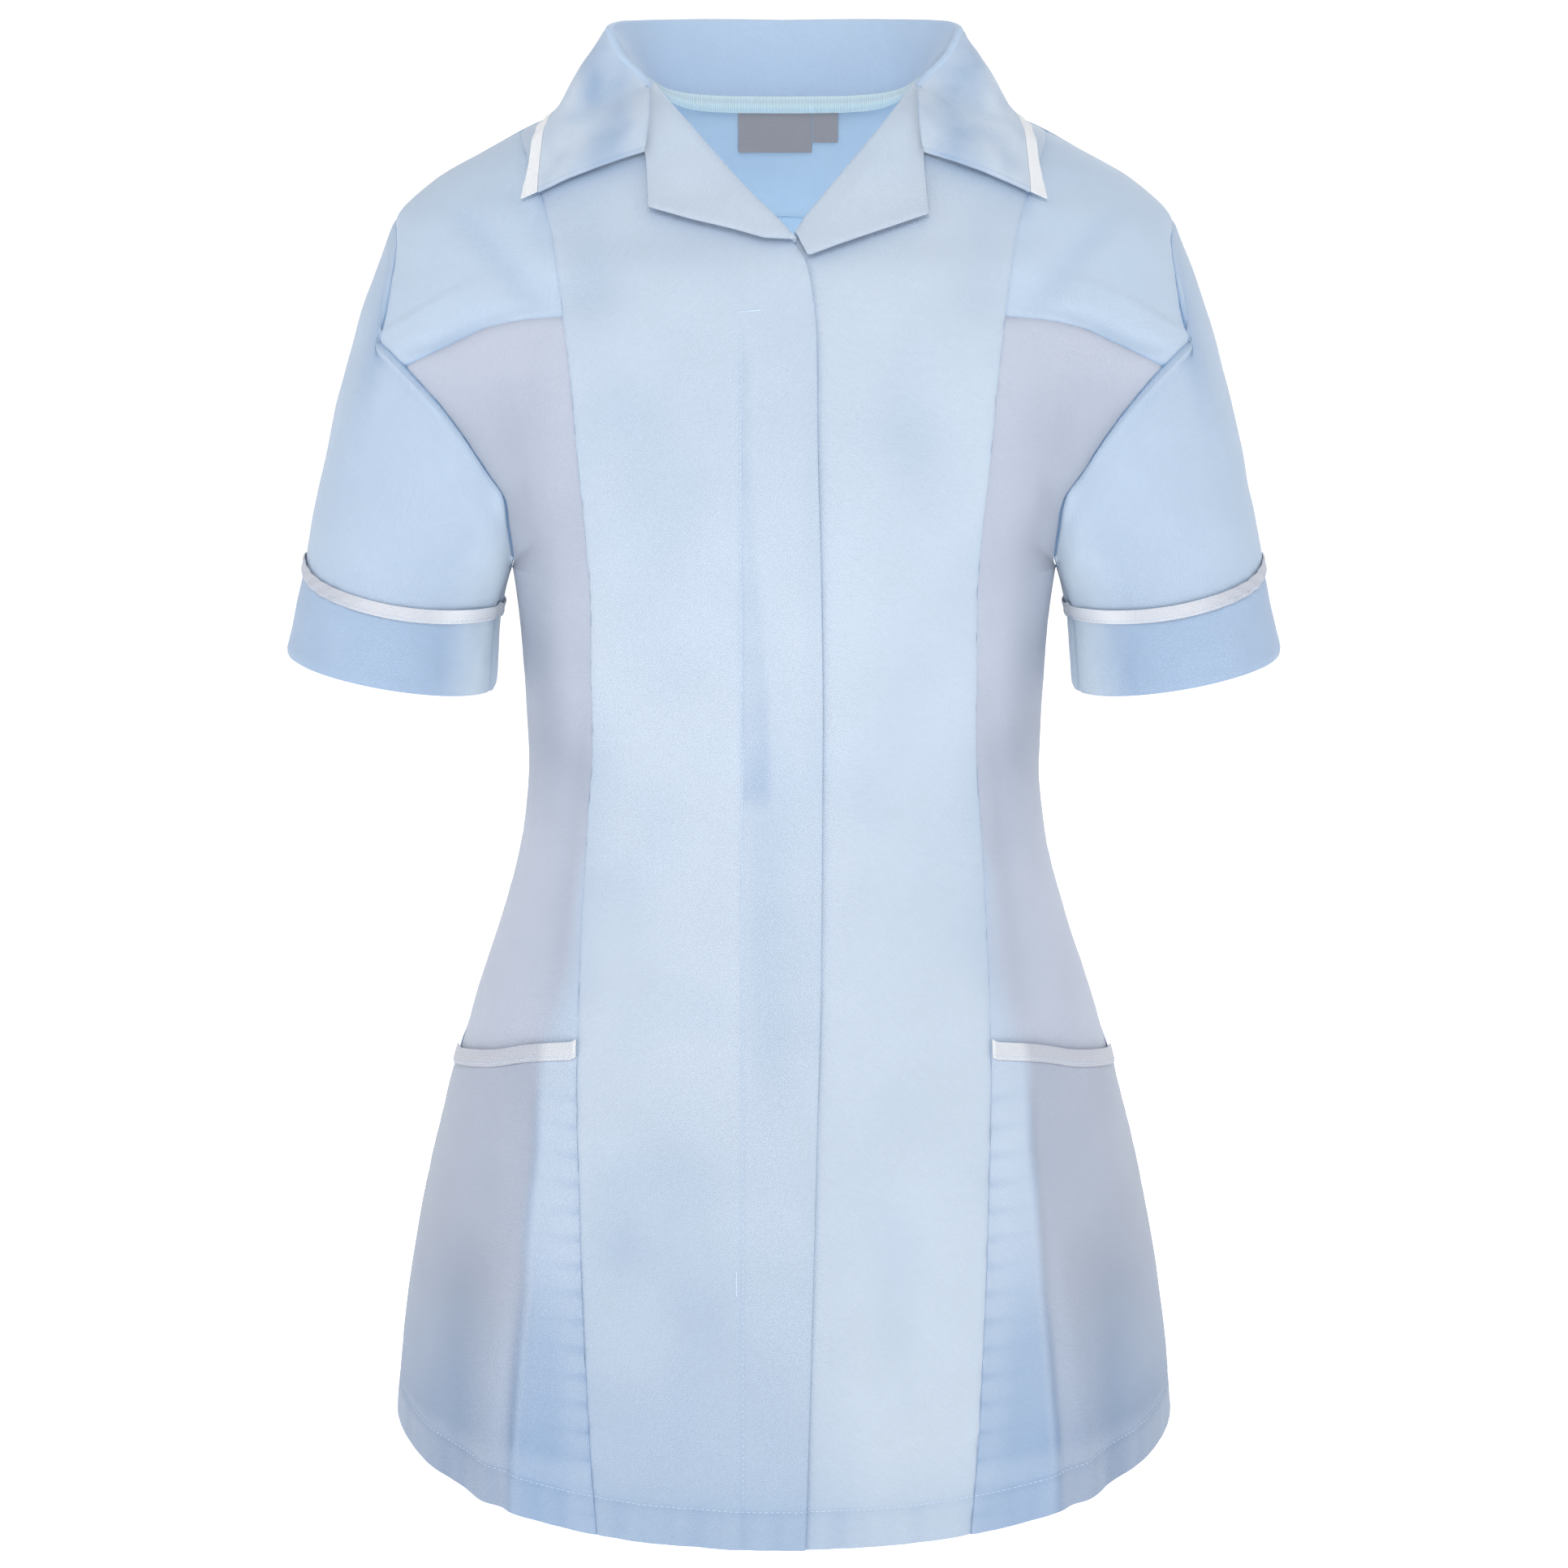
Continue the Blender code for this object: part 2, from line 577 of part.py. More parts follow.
# The sleeves hang from the armholes and turn out a little. Each ends in a cuff, and white braid
# covers the seam between the two.
SLEEVE_TILT = math.radians(10.4)
SLEEVE_DEPTH = 53.0
SLEEVE_CENTRE_Y = -2.0
SLEEVE_END = {"x": 192.2, "drop": 249.5, "half_width": 50.2}
CUFF_END = {"x": 199.0, "drop": 290.4, "half_width": 53.6}
SLEEVE_ROWS = 8
CUFF_ROWS = 2
CUFF_SEAM_SAG = 2.5
CUFF_SEAM_RISE = 5.5
CUFF_SEAM_RISE_TURN = 27.0
SLEEVE_BRAID_WIDTH = 7.0
BRAID_MIDDLE_LIFT = 0.1
ARMHOLE_CLEARANCE = 0.45
CAP_TURN_OUT = 0.36
UNDERARM_TURN_OUT = 0.10
BEZIER_REACH = 0.27


def sleeve_ring(end, side, turns):
    """Points of a level round a sleeve. A turn of 0 is outside, and 90 is at the front."""
    centre = np.array([side * end["x"], SLEEVE_CENTRE_Y, -end["drop"]])
    out_of_body = np.array([side * math.cos(SLEEVE_TILT), 0, math.sin(SLEEVE_TILT)])
    forward = np.array([0, -1.0, 0])
    turns = np.radians(turns)[:, None]
    depth = SLEEVE_DEPTH * end["half_width"] / CUFF_END["half_width"]
    return centre + end["half_width"] * np.cos(turns) * out_of_body + depth * np.sin(turns) * forward


def along_axis(side):
    return np.array([side * math.sin(SLEEVE_TILT), 0, -math.cos(SLEEVE_TILT)])


def cuff_seam(side, turns):
    """The seam of the cuff. It hangs lowest at the front, and is drawn up at the outside."""
    front = np.maximum(np.sin(np.radians(turns)), 0) ** 3
    from_outside = np.abs((turns + 180) % 360 - 180)
    outside = np.exp(-(from_outside / CUFF_SEAM_RISE_TURN) ** 2)
    shift = CUFF_SEAM_SAG * front - CUFF_SEAM_RISE * outside
    return sleeve_ring(SLEEVE_END, side, turns) + along_axis(side) * shift[:, None]


def armhole_loop(side):
    """Points round an armhole from the shoulder tip over the front, and each one's turn."""
    front = seam(FRONT_ARMHOLE, UPPER_ARMHOLE + MIDDLE_ARMHOLE[1:], side, 1)
    back = seam(BACK_ARMHOLE, BACK_UPPER_ARMHOLE + BACK_LOWER_ARMHOLE[1:], side, -1)
    turns = np.concatenate([180 * lengths(front), 360 - 180 * lengths(back)[-2:0:-1]])
    loop = np.concatenate([front, back[-2:0:-1]])
    return on_form(loop[:, 0], loop[:, 1]), turns


def tube(name, rings, side, material, thickness):
    """A wall of cloth through level rings, from the top one down."""
    rings = np.array(rings)
    if side > 0:
        rings = rings[:, ::-1]
    points = rings.reshape(-1, 3)
    faces = grid_faces(*rings.shape[:2], True)
    return wall(name, points, vertex_normals(points, faces), faces, thickness, material)


def moved_out(ring, amount):
    """A round ring made wider by amount on every side."""
    away = ring - ring.mean(0)
    return ring + away / np.linalg.norm(away, axis=1, keepdims=True) * amount


for name, side in SIDES:
    armhole, turns = armhole_loop(side)
    start = armhole + np.array([side * ARMHOLE_CLEARANCE, 0, 0])
    end = cuff_seam(side, turns)
    axis = along_axis(side)
    top_share = (1 + np.cos(np.radians(turns)))[:, None] / 2
    turn_out = UNDERARM_TURN_OUT + (CAP_TURN_OUT - UNDERARM_TURN_OUT) * top_share
    leaving = axis + np.array([side, 0, 0]) * turn_out
    leaving /= np.linalg.norm(leaving, axis=1, keepdims=True)
    reach = BEZIER_REACH * np.linalg.norm(end - start, axis=1, keepdims=True)
    second, third = start + leaving * reach, end - axis * reach
    rings = []
    for part in even(SLEEVE_ROWS):
        rings.append((1 - part) ** 3 * start + 3 * (1 - part) ** 2 * part * second
                     + 3 * (1 - part) * part ** 2 * third + part ** 3 * end)
    tube(f"sleeve_{name}", rings, side, SLEEVE_BLUE, WALL)

    cuff_end = sleeve_ring(CUFF_END, side, turns)
    cuff_start = end + axis * SEAM_GAP
    tube(f"cuff_{name}", [cuff_start + (cuff_end - cuff_start) * part for part in even(CUFF_ROWS)],
         side, SLEEVE_BLUE, DOUBLE_WALL)
    up_sleeve = rings[-2] - end
    up_sleeve /= np.linalg.norm(up_sleeve, axis=1, keepdims=True)
    half_braid = SLEEVE_BRAID_WIDTH / 2
    band = [end + up_sleeve * half_braid, end, end + axis * half_braid]
    cuff_depth = CUFF_END["drop"] - SLEEVE_END["drop"]
    widening = (CUFF_END["half_width"] - SLEEVE_END["half_width"]) / cuff_depth
    lifts = [0, BRAID_MIDDLE_LIFT, widening * half_braid]
    tube(f"sleeve_braid_{name}",
         [moved_out(ring, TRIM_WALL + LYING_GAP + lift) for ring, lift in zip(band, lifts)],
         side, WHITE, TRIM_WALL)

# The collar, one turned-down piece from notch to notch. It stands up from the neck seam, folds over
# and falls on the shoulders, and in front the gorge seam joins it to the lapels. Each row is a
# station of one half: its fold and its outer edge. Places 0 to 4 start from the back neck seam, and
# 5 from the short stretch of neck seam in front. From 6 to 8, the notch, it is joined to the lapel,
# and the gorge seam takes the place of the fold.
COLLAR = table("fold_x fold_y fold_z edge_x edge_y edge_z", [
    (0, 67, 30.5, 0, 75, -26),
    (32, 64.5, 30.8, 38, 73, -25),
    (60, 52, 31, 74, 61, -21),
    (79, 27, 31, 101, 32, -15),
    (85.5, 3, 29, 110.5, -5, -12),
    (80, -10, 18, 115.5, -28, -23),
    (63.2, -21, -1, 117.5, -43, -34),
    (63.3, -46, -14, 118, -51, -41),
    (65, -58, -29, 118, -57.4, -47.3),
])
GORGE = table("drop x", [(1.9, 63.2), (14, 63.3), (29.5, 65)])
COLLAR_STEPS = 2
HIGH_SHOULDER_PLACE = 4
GORGE_PLACE = 6
FOLD_HALF_SPAN = 2.9
FOLD_CREST = 2.3
FALL_BULGE = 2.6
FALL_ROWS = 4
COLLAR_RELIEF = 3.6
NECK_CLEARANCE = 0.5
STAND_HOLLOW = 1.0
GORGE_FALL_START = 0.08
CLEARING_ROUNDS = 6


def cleared(point, least):
    """The same points, moved out of the form where they are less than least from it."""
    point = np.array(point, float)
    for _ in range(CLEARING_ROUNDS):
        half_width, front, back, power = section(-point[..., 2])
        depth = np.where(point[..., 1] <= 0, front, back)
        away = outward(point)
        reach = np.hypot(point[..., 0], point[..., 1])
        level = ((np.abs(point[..., 0]) / half_width) ** power
                 + (np.abs(point[..., 1]) / depth) ** power) ** (1 / power)
        sideways = np.hypot(away[..., 0], away[..., 1])
        distance = reach * (1 - 1 / np.maximum(level, 1e-6)) * sideways
        short = np.where(point[..., 2] < 0, np.maximum(least - distance, 0), 0)
        point = point + away * short[..., None]
    return point


def gorge_drop(share):
    return GORGE["drop"][0] + (GORGE["drop"][-1] - GORGE["drop"][0]) * share


def collar_station(place, side):
    """Start, fold and outer edge of the collar at a place between two rows of its table."""
    stations = np.arange(len(COLLAR["fold_x"]), dtype=float)
    row = {name: float(smooth_curve(place, stations, values)) for name, values in COLLAR.items()}
    fold = np.array([side * row["fold_x"], row["fold_y"], row["fold_z"]])
    edge = np.array([side * row["edge_x"], row["edge_y"], row["edge_z"]])
    if place <= HIGH_SHOULDER_PLACE:
        start = on_form(*back_neck(place, side))
    elif place < GORGE_PLACE:
        share = (place - HIGH_SHOULDER_PLACE) / (GORGE_PLACE - HIGH_SHOULDER_PLACE)
        drop = share * GORGE["drop"][0]
        x = side * np.interp(share, (0, 1), (FORM["half_width"][0], GORGE["x"][0]))
        start = on_form(angle_at(x, drop, 1), drop)
    else:
        place_share = (place - GORGE_PLACE) / (len(COLLAR["fold_x"]) - 1 - GORGE_PLACE)
        drop = gorge_drop(place_share)
        x = side * smooth_curve(drop, GORGE["drop"], GORGE["x"])
        start = on_form(angle_at(x, drop, 1), drop)
        fold = start + outward(start) * COLLAR_RELIEF
    return start, fold, edge


def collar_column(place, side):
    """Points of the visible face from the neck seam over the fold to the outer edge."""
    start, fold, edge = collar_station(place, side)
    apart = (edge - start) * [1, 1, 0]
    apart /= np.linalg.norm(apart)
    column = []
    if place < GORGE_PLACE:
        crest_drop = np.array([0, 0, FOLD_CREST])
        foot = start + np.array([0, 0, NECK_CLEARANCE])
        stand_top = fold - apart * FOLD_HALF_SPAN - crest_drop
        column += [foot, (foot + stand_top) / 2 - apart * STAND_HOLLOW, stand_top, fold]
        fall_top = fold + apart * FOLD_HALF_SPAN - crest_drop
    else:
        fold = fold + (edge - fold) / np.linalg.norm(edge - fold) * LYING_GAP
        fall_top = fold + (edge - fold) * GORGE_FALL_START
        column += [fold]
    for part in even(FALL_ROWS):
        bulge = apart * FALL_BULGE * 4 * part * (1 - part)
        column.append(cleared(fall_top + (edge - fall_top) * part + bulge, COLLAR_RELIEF))
    return column


LAST_PLACE = len(COLLAR["fold_x"]) - 1
HALF_PLACES = np.linspace(0, LAST_PLACE, COLLAR_STEPS * LAST_PLACE + 1)
collar_places = [(place, 1) for place in HALF_PLACES[::-1]] + [(place, -1) for place in HALF_PLACES[1:]]
collar_columns = [collar_column(place, side) for place, side in collar_places]
full_height = max(len(column) for column in collar_columns)
collar_points, collar_index = [], []
for column in collar_columns:
    missing = full_height - len(column)
    first = len(collar_points)
    collar_index.append([None] * missing + list(range(first, first + len(column))))
    collar_points += column
collar_faces = []
for here, after in zip(collar_index, collar_index[1:]):
    for row in range(full_height - 1):
        corners = (here[row], here[row + 1], after[row + 1], after[row])
        if None not in corners:
            collar_faces.append(corners)
collar_points = np.array(collar_points)
collar_normals = vertex_normals(collar_points, collar_faces)
wall("collar", collar_points, collar_normals, collar_faces, DOUBLE_WALL, COLLAR_BLUE)

# White braid along the collar's outer edge, between its two layers of cloth.
BRAID_SET_BACK = 0.4
BRAID_START = 0.8
edge_rows = []
for reach in (BRAID_START, BRAID_START + BRAID_WIDTH / 2, BRAID_START + BRAID_WIDTH):
    row = []
    for column, index in zip(collar_columns, collar_index):
        onward = column[-1] - column[-2]
        onward /= np.linalg.norm(onward)
        row.append(column[-1] + onward * reach - collar_normals[index[-1]] * BRAID_SET_BACK)
    edge_rows.append(cleared(np.array(row), TRIM_WALL + 2 * LYING_GAP))
braid_points = np.concatenate(edge_rows)
braid_faces = grid_faces(len(edge_rows), len(collar_columns), False)
wall("collar_braid", braid_points, vertex_normals(braid_points, braid_faces), braid_faces, TRIM_WALL,
     WHITE)

# The lapels: the tops of the fronts and their facings, turned back along the roll lines. Each is
# joined to the collar along the gorge and lies on its front. The left one's foot runs down beside the
# edge of the right front, which lies over it.
LAPELS = {
    -1: {"edge": RIGHT_EDGE, "break_drop": 70.0, "tip": (63.8, 54.9),
         "foot": [(-9.3, 69.6), (-32, 63.4)]},
    1: {"edge": LEFT_EDGE, "break_drop": 66.5, "tip": (68, 57.9),
        "foot": [(8.6, 71.5), (11.3, 76.1)]},
}
LAPEL_WALL = 1.5
LAPEL_COLUMNS = COLLAR_STEPS * (LAST_PLACE - GORGE_PLACE)
LAPEL_ROWS = 7
LAPEL_RELIEF = 3.2
ROLL = table("inward out", [(1.9, -0.4), (1.95, 1.15), (1.1, 2.3)])
ROLL_STEP = 0.4


def flat_lengths(edge):
    """Share of the way along an edge of distances from the middle and drops."""
    run = np.concatenate([[0], np.cumsum(np.linalg.norm(np.diff(edge, axis=0), axis=1))])
    return run / run[-1]


def evened(edge, count):
    """The same line with its points spaced evenly."""
    run = flat_lengths(edge)
    return np.stack([np.interp(even(count), run, edge[:, part]) for part in (0, 1)], -1)


for name, side in SIDES:
    lapel = LAPELS[side]
    roll_drops = np.linspace(GORGE["drop"][0], lapel["break_drop"], LAPEL_ROWS + 1)
    roll = np.stack([np.interp(roll_drops, lapel["edge"]["drop"], lapel["edge"]["x"]), roll_drops], -1)
    drops = gorge_drop(even(LAPEL_COLUMNS))
    gorge = np.stack([side * smooth_curve(drops, GORGE["drop"], GORGE["x"]), drops], -1)
    gorge[0] = roll[0]
    tip = [side * lapel["tip"][0], lapel["tip"][1]]
    foot = [[x, drop] for x, drop in lapel["foot"]]
    outer = evened(np.array([gorge[-1], tip]), LAPEL_ROWS)
    bottom = evened(np.array([roll[-1], *foot, tip]), LAPEL_COLUMNS)
    flat = patch(gorge, bottom, roll, outer, flat_lengths)
    grid = np.stack([angle_at(flat[..., 0], flat[..., 1], 1), flat[..., 1]], -1)
    out = np.full(grid.shape[:2], LAPEL_RELIEF)
    out[:, 0] = ROLL["out"][-1] + ROLL_STEP
    if side < 0:
        out = out + overlap_rise(grid)
    face = trimmed(on_form(grid[..., 0], grid[..., 1], out))
    roll_line = on_form(grid[:, 0, 0], grid[:, 0, 1])
    normal = outward(roll_line)
    sideways = np.cross(normal, np.gradient(face[:, 0], axis=0))
    sideways /= np.linalg.norm(sideways, axis=1, keepdims=True)
    sideways *= -side * np.sign(sideways[:, :1])
    lift = (out[:, 0] - ROLL["out"][-1])[:, None]
    rolled = [roll_line + sideways * inward + normal * (height + lift)
              for inward, height in zip(ROLL["inward"], ROLL["out"])]
    columns = np.concatenate([np.stack(rolled, 1), face], 1)
    if side < 0:
        columns = columns[:, ::-1]
    points = columns.reshape(-1, 3)
    faces = grid_faces(*columns.shape[:2], False)
    wall(f"lapel_{name}", points, vertex_normals(points, faces), faces, LAPEL_WALL, CENTRE_BLUE)

# A woven label and a size tab beside it hang from the neck seam inside the yoke.
LABELS = {
    "neck_label": {"x": (-23.3, 14.2), "drop": (14.0, 35.3)},
    "size_tab": {"x": (14.8, 27.4), "drop": (14.0, 30.0)},
}
LABEL_CLEARANCE = 0.9
LABEL_COLUMNS = 3
LABEL_ROWS = 2
for name, size in LABELS.items():
    drops = np.linspace(*size["drop"], LABEL_ROWS + 1)[:, None]
    xs = np.linspace(*size["x"], LABEL_COLUMNS + 1)[None]
    drops, xs = np.broadcast_arrays(drops, xs)
    grid = np.stack([angle_at(xs, drops, -1), drops], -1)
    panel(name, grid, LABEL_GREY, -(WALL + LABEL_CLEARANCE), TRIM_WALL, 0.0)
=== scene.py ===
import math

import bpy
import numpy as np
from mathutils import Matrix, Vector, noise
from mathutils.bvhtree import BVHTree


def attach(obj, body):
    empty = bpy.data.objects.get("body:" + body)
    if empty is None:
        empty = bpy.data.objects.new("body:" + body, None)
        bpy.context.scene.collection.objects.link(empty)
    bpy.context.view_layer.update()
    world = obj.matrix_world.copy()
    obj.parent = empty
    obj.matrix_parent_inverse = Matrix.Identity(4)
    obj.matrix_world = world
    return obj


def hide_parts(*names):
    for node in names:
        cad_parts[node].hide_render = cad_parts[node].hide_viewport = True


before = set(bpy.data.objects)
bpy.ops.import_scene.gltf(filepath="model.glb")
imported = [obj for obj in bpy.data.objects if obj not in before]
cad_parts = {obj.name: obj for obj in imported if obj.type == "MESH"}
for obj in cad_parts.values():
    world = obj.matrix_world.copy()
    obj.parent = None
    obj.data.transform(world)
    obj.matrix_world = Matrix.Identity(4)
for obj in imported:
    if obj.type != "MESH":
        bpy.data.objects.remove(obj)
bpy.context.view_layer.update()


# Centre fronts. Two long pieces of pale blue polyester-cotton twill, from the shoulder seams and the
# roll lines of the lapels to the hem. The right one lies over the left one, and its double placket is
# held by one row of stitches and two bar tacks.
MM = 0.001
CLOTH = 0.6
PLACKET_CLOTH = 1.0


def table(names, rows):
    """Rows of numbers as named columns."""
    return dict(zip(names.split(), np.array(rows, float).T))


# Level sections of the worn form: half its width, how far its front and back stand from the side
# seams, and the power of the rounded ellipse. A drop is a distance below the origin, in millimetres.
FORM = table("drop half_width front back power", [
    (0, 66, 38, 50, 2.0),
    (8, 92, 46, 55, 2.0),
    (16, 118, 51, 59, 2.0),
    (30, 145, 58, 66, 2.05),
    (45, 172, 67, 72, 2.1),
    (64, 191.5, 80, 80, 2.2),
    (80, 197, 92, 86, 2.2),
    (100, 203, 100, 92, 2.25),
    (122, 207, 107, 97, 2.25),
    (137, 202, 111, 99, 2.25),
    (168, 178, 118, 102, 2.25),
    (195, 156.6, 121, 102, 2.25),
    (215, 143.4, 120, 100, 2.25),
    (226, 139.2, 118.8, 98.6, 2.25),
    (237, 136.5, 117, 97, 2.25),
    (285, 132, 107, 88, 2.25),
    (340, 130, 98, 84, 2.25),
    (374, 133.5, 98, 87, 2.25),
    (409, 142, 101, 92, 2.25),
    (461, 159, 109, 103, 2.2),
    (513, 173.4, 120, 114, 2.2),
    (567, 186.3, 130, 125, 2.15),
    (621, 195.9, 140, 135, 2.1),
    (660, 200.9, 147, 141, 2.1),
    (710, 204.8, 154, 147, 2.1),
])
HEM_DROP_FRONT, HEM_DROP_SIDE, HEM_DROP_BACK = 703.0, 685.0, 700.0
HEM_POWER = 3
HEM_HEIGHT = 19.0

# The folds of the cloth: x and drop at the top, x and drop at the bottom, half the span, height, face
# and side. A ridge has a positive height and a trough a negative one. face is 1 on the front and -1 on
# the back, and side is 1 on the wearer's left, -1 on the right, and 0 on both.
FOLDS = [
    (121, 480, 122, 575, 15, 3.2, 1, 0),
    (122, 560, 138, 690, 16, 3.0, 1, 0),
    (157, 560, 163, 700, 14, -2.2, 1, 0),
    (96, 293, 113, 460, 17, -2.4, 1, 0),
    (128, 255, 112, 330, 14, -2.0, 1, 0),
    (104, 480, 118, 700, 22, 3.4, -1, 0),
    (150, 500, 160, 700, 18, -2.6, -1, 0),
    (60, 270, 88, 420, 17, -2.2, -1, 0),
    (30, 560, 38, 700, 22, 2.4, -1, 0),
    (98, 288, 118, 455, 4.5, -1.1, 1, 0),
    (-14, 108, -15, 350, 5.5, -0.9, 1, -1),
    (106, 475, 108, 570, 6, 0.9, 1, 0),
    (124, 470, 126, 570, 5, -1.3, 1, 0),
    (124, 560, 141, 700, 5, -2.6, 1, 0),
    (133, 575, 151, 700, 6, 1.3, 1, 0),
    (150, 590, 156, 700, 9, 1.0, 1, 0),
    (172, 600, 178, 700, 10, 1.1, 1, 0),
    (60, 480, 44, 660, 26, -1.3, 1, -1),
    (66, 560, 78, 700, 20, 1.2, 1, -1),
    (46, 500, 60, 640, 24, -1.2, 1, 1),
    (76, 420, 62, 560, 22, 1.0, 1, 1),
    (60, 250, 74, 430, 24, -1.1, 1, 1),
    (58, 130, 84, 250, 22, -0.9, 1, 1),
    (70, 120, 58, 290, 20, -1.0, 1, -1),
    (40, 300, 66, 470, 24, 1.1, 1, -1),
    (157, 55, 114, 102, 9, -1.7, 1, 0),
    (138, 48, 106, 86, 9, 1.0, 1, 0),
    (112, 112, 122, 200, 12, 1.2, 1, 0),
    (132, 128, 118, 240, 10, -1.3, 1, 0),
    (40, 110, 62, 260, 20, 1.4, -1, 0),
    (70, 420, 74, 700, 16, -1.8, -1, 0),
    (128, 440, 140, 700, 12, 1.6, -1, 1),
    (130, 440, 138, 700, 12, 1.4, -1, -1),
    (110, 150, 96, 300, 16, -1.6, -1, 0),
    (178, 138, 133, 206, 7, -2.2, 1, 0),
    (128, 99, 181, 124, 9, -1.5, 1, 0),
    (8, 285, 8, 490, 12, -1.5, 1, -1),
    (74, 365, 66, 430, 17, -1.5, 1, -1),
    (84, 510, 82, 570, 14, -1.7, 1, -1),
    (58, 535, 55, 615, 15, -1.9, 1, 1),
    (94, 50, 91, 105, 14, -1.6, 1, 0),
]
LEFT_SHIFT = 3.0


def smooth_curve(value, given, wanted):
    """A smooth curve through a table's points that never overshoots them."""
    steps = np.diff(given)
    slopes = np.diff(wanted) / steps
    tangents = np.zeros(len(given))
    for row in range(1, len(given) - 1):
        before, after = slopes[row - 1], slopes[row]
        if before * after > 0:
            near = 2 * steps[row] + steps[row - 1]
            far = steps[row] + 2 * steps[row - 1]
            tangents[row] = (near + far) / (near / before + far / after)
    tangents[0], tangents[-1] = slopes[0], slopes[-1]
    value = np.clip(np.asarray(value, float), given[0], given[-1])
    row = np.clip(np.searchsorted(given, value) - 1, 0, len(given) - 2)
    part = (value - given[row]) / steps[row]
    start = (1 + 2 * part) * (1 - part) ** 2 * wanted[row]
    end = part ** 2 * (3 - 2 * part) * wanted[row + 1]
    leaving = part * (1 - part) ** 2 * steps[row] * tangents[row]
    arriving = part ** 2 * (part - 1) * steps[row] * tangents[row + 1]
    return start + end + leaving + arriving


def ease(value, low, high):
    """0 below low, 1 above high, and a soft step between."""
    part = np.clip((value - low) / (high - low), 0, 1)
    return part * part * (3 - 2 * part)


def within(value, low, high, leave, end):
    """0 below low and above end, 1 from high to leave, and soft steps between."""
    return ease(value, low, high) * (1 - ease(value, leave, end))


def bell(value, middle, span):
    """1 at the middle, and softly down to 0 on both sides of it."""
    return np.exp(-((value - middle) / span) ** 2)


def read(curve, value, column=None):
    """A table's second column, or the named one, at a value of its first."""
    names = list(curve)
    return smooth_curve(value, curve[names[0]], curve[column or names[1]])


def section(drop):
    """Half width, front, back and power of the form at a drop."""
    return [read(FORM, drop, name) for name in ("half_width", "front", "back", "power")]


def angle_at(x, drop, face):
    """The angle, from the middle of the front, of the form's points with this signed x."""
    x = np.asarray(x, float)
    half_width, _, _, power = section(drop)
    share = np.clip(np.abs(x) / half_width, 0, 1) ** (power / 2)
    turn = np.degrees(np.arcsin(share)) * np.where(x < 0, -1, 1)
    return turn if face > 0 else 180 - turn


def plain_point(angle, drop):
    """A point of the form before its folds."""
    half_width, front, back, power = section(drop)
    turn = np.radians(angle)
    across = np.sign(np.sin(turn)) * np.abs(np.sin(turn)) ** (2 / power) * half_width
    depth = np.where(np.cos(turn) >= 0, front, back)
    towards = -np.sign(np.cos(turn)) * np.abs(np.cos(turn)) ** (2 / power) * depth
    return np.stack([across, towards, -np.asarray(drop, float)], -1)


def plain_grid(grid):
    """Points of the form, before its folds, from their angles and drops."""
    return plain_point(grid[..., 0], grid[..., 1])


def outward(point):
    """The direction out of the form at a point of it."""
    x, y, z = point[..., 0], point[..., 1], point[..., 2]

    def level(drop):
        half_width, front, back, power = section(drop)
        depth = np.where(y <= 0, front, back)
        return (np.abs(x) / half_width) ** power + (np.abs(y) / depth) ** power

    half_width, front, back, power = section(-z)
    depth = np.where(y <= 0, front, back)
    slope = np.stack([
        power * np.sign(x) * np.abs(x) ** (power - 1) / half_width ** power,
        power * np.sign(y) * np.abs(y) ** (power - 1) / depth ** power,
        level(-z - 0.5) - level(-z + 0.5),
    ], -1)
    return slope / np.linalg.norm(slope, axis=-1, keepdims=True)


def fold_height(point):
    """How far the folds move the cloth out of the plain form."""
    x, y, drop = point[..., 0], point[..., 1], -point[..., 2]
    height = np.zeros(x.shape)
    for x_top, drop_top, x_bottom, drop_bottom, half_span, rise, face, on_side in FOLDS:
        side = on_side or np.where(x >= 0, 1, -1)
        along = (drop - drop_top) / (drop_bottom - drop_top)
        middle = x_top + along * (x_bottom - x_top) + LEFT_SHIFT * (side > 0) * (on_side == 0)
        to_the_hem = drop_bottom > HEM_DROP_SIDE - HEM_HEIGHT
        fade = ease(along, -0.15, 0.25) if to_the_hem else within(along, -0.15, 0.25, 0.75, 1.15)
        height = height + rise * bell(x * side, middle, half_span) * fade * (y * face <= 0)
    return height * ease(np.abs(y) / np.where(y < 0, section(drop)[1], section(drop)[2]), 0.03, 0.28)


def unevenness(points, span, seed):
    """Smooth, even chance from -1 to 1 that changes over about span millimetres."""
    flat = points.reshape(-1, 3) / span
    found = [noise.noise(Vector((x, y, z + seed))) for x, y, z in flat]
    return np.array(found).reshape(points.shape[:-1])


def on_form(angle, drop, out=0.0):
    """Points on the outside of the cloth, moved out of it by out."""
    angle, drop = np.broadcast_arrays(np.asarray(angle, float), np.asarray(drop, float))
    point = plain_point(angle, drop)
    return point + outward(point) * (fold_height(point) + out)[..., None]


def seam(curve, drops, side, face):
    """Angle and drop of points of a seam that runs down, at the given drops."""
    drops = np.asarray(drops, float)
    return np.stack([angle_at(side * read(curve, drops), drops, face), drops], -1)


def side_line(side, drops, face):
    """The line down the side of the form: the shoulder seam, and the side seam under the arm."""
    angle = side * 90 if face > 0 else 180 - side * 90
    return np.stack([np.full(len(drops), float(angle)), np.asarray(drops, float)], -1)


def hem_drop(angle):
    """The hem is lowest at the middle of the front and of the back, and rises most near the sides."""
    middle = np.where(np.cos(np.radians(angle)) >= 0, HEM_DROP_FRONT, HEM_DROP_BACK)
    return middle + (HEM_DROP_SIDE - middle) * np.abs(np.sin(np.radians(angle))) ** HEM_POWER


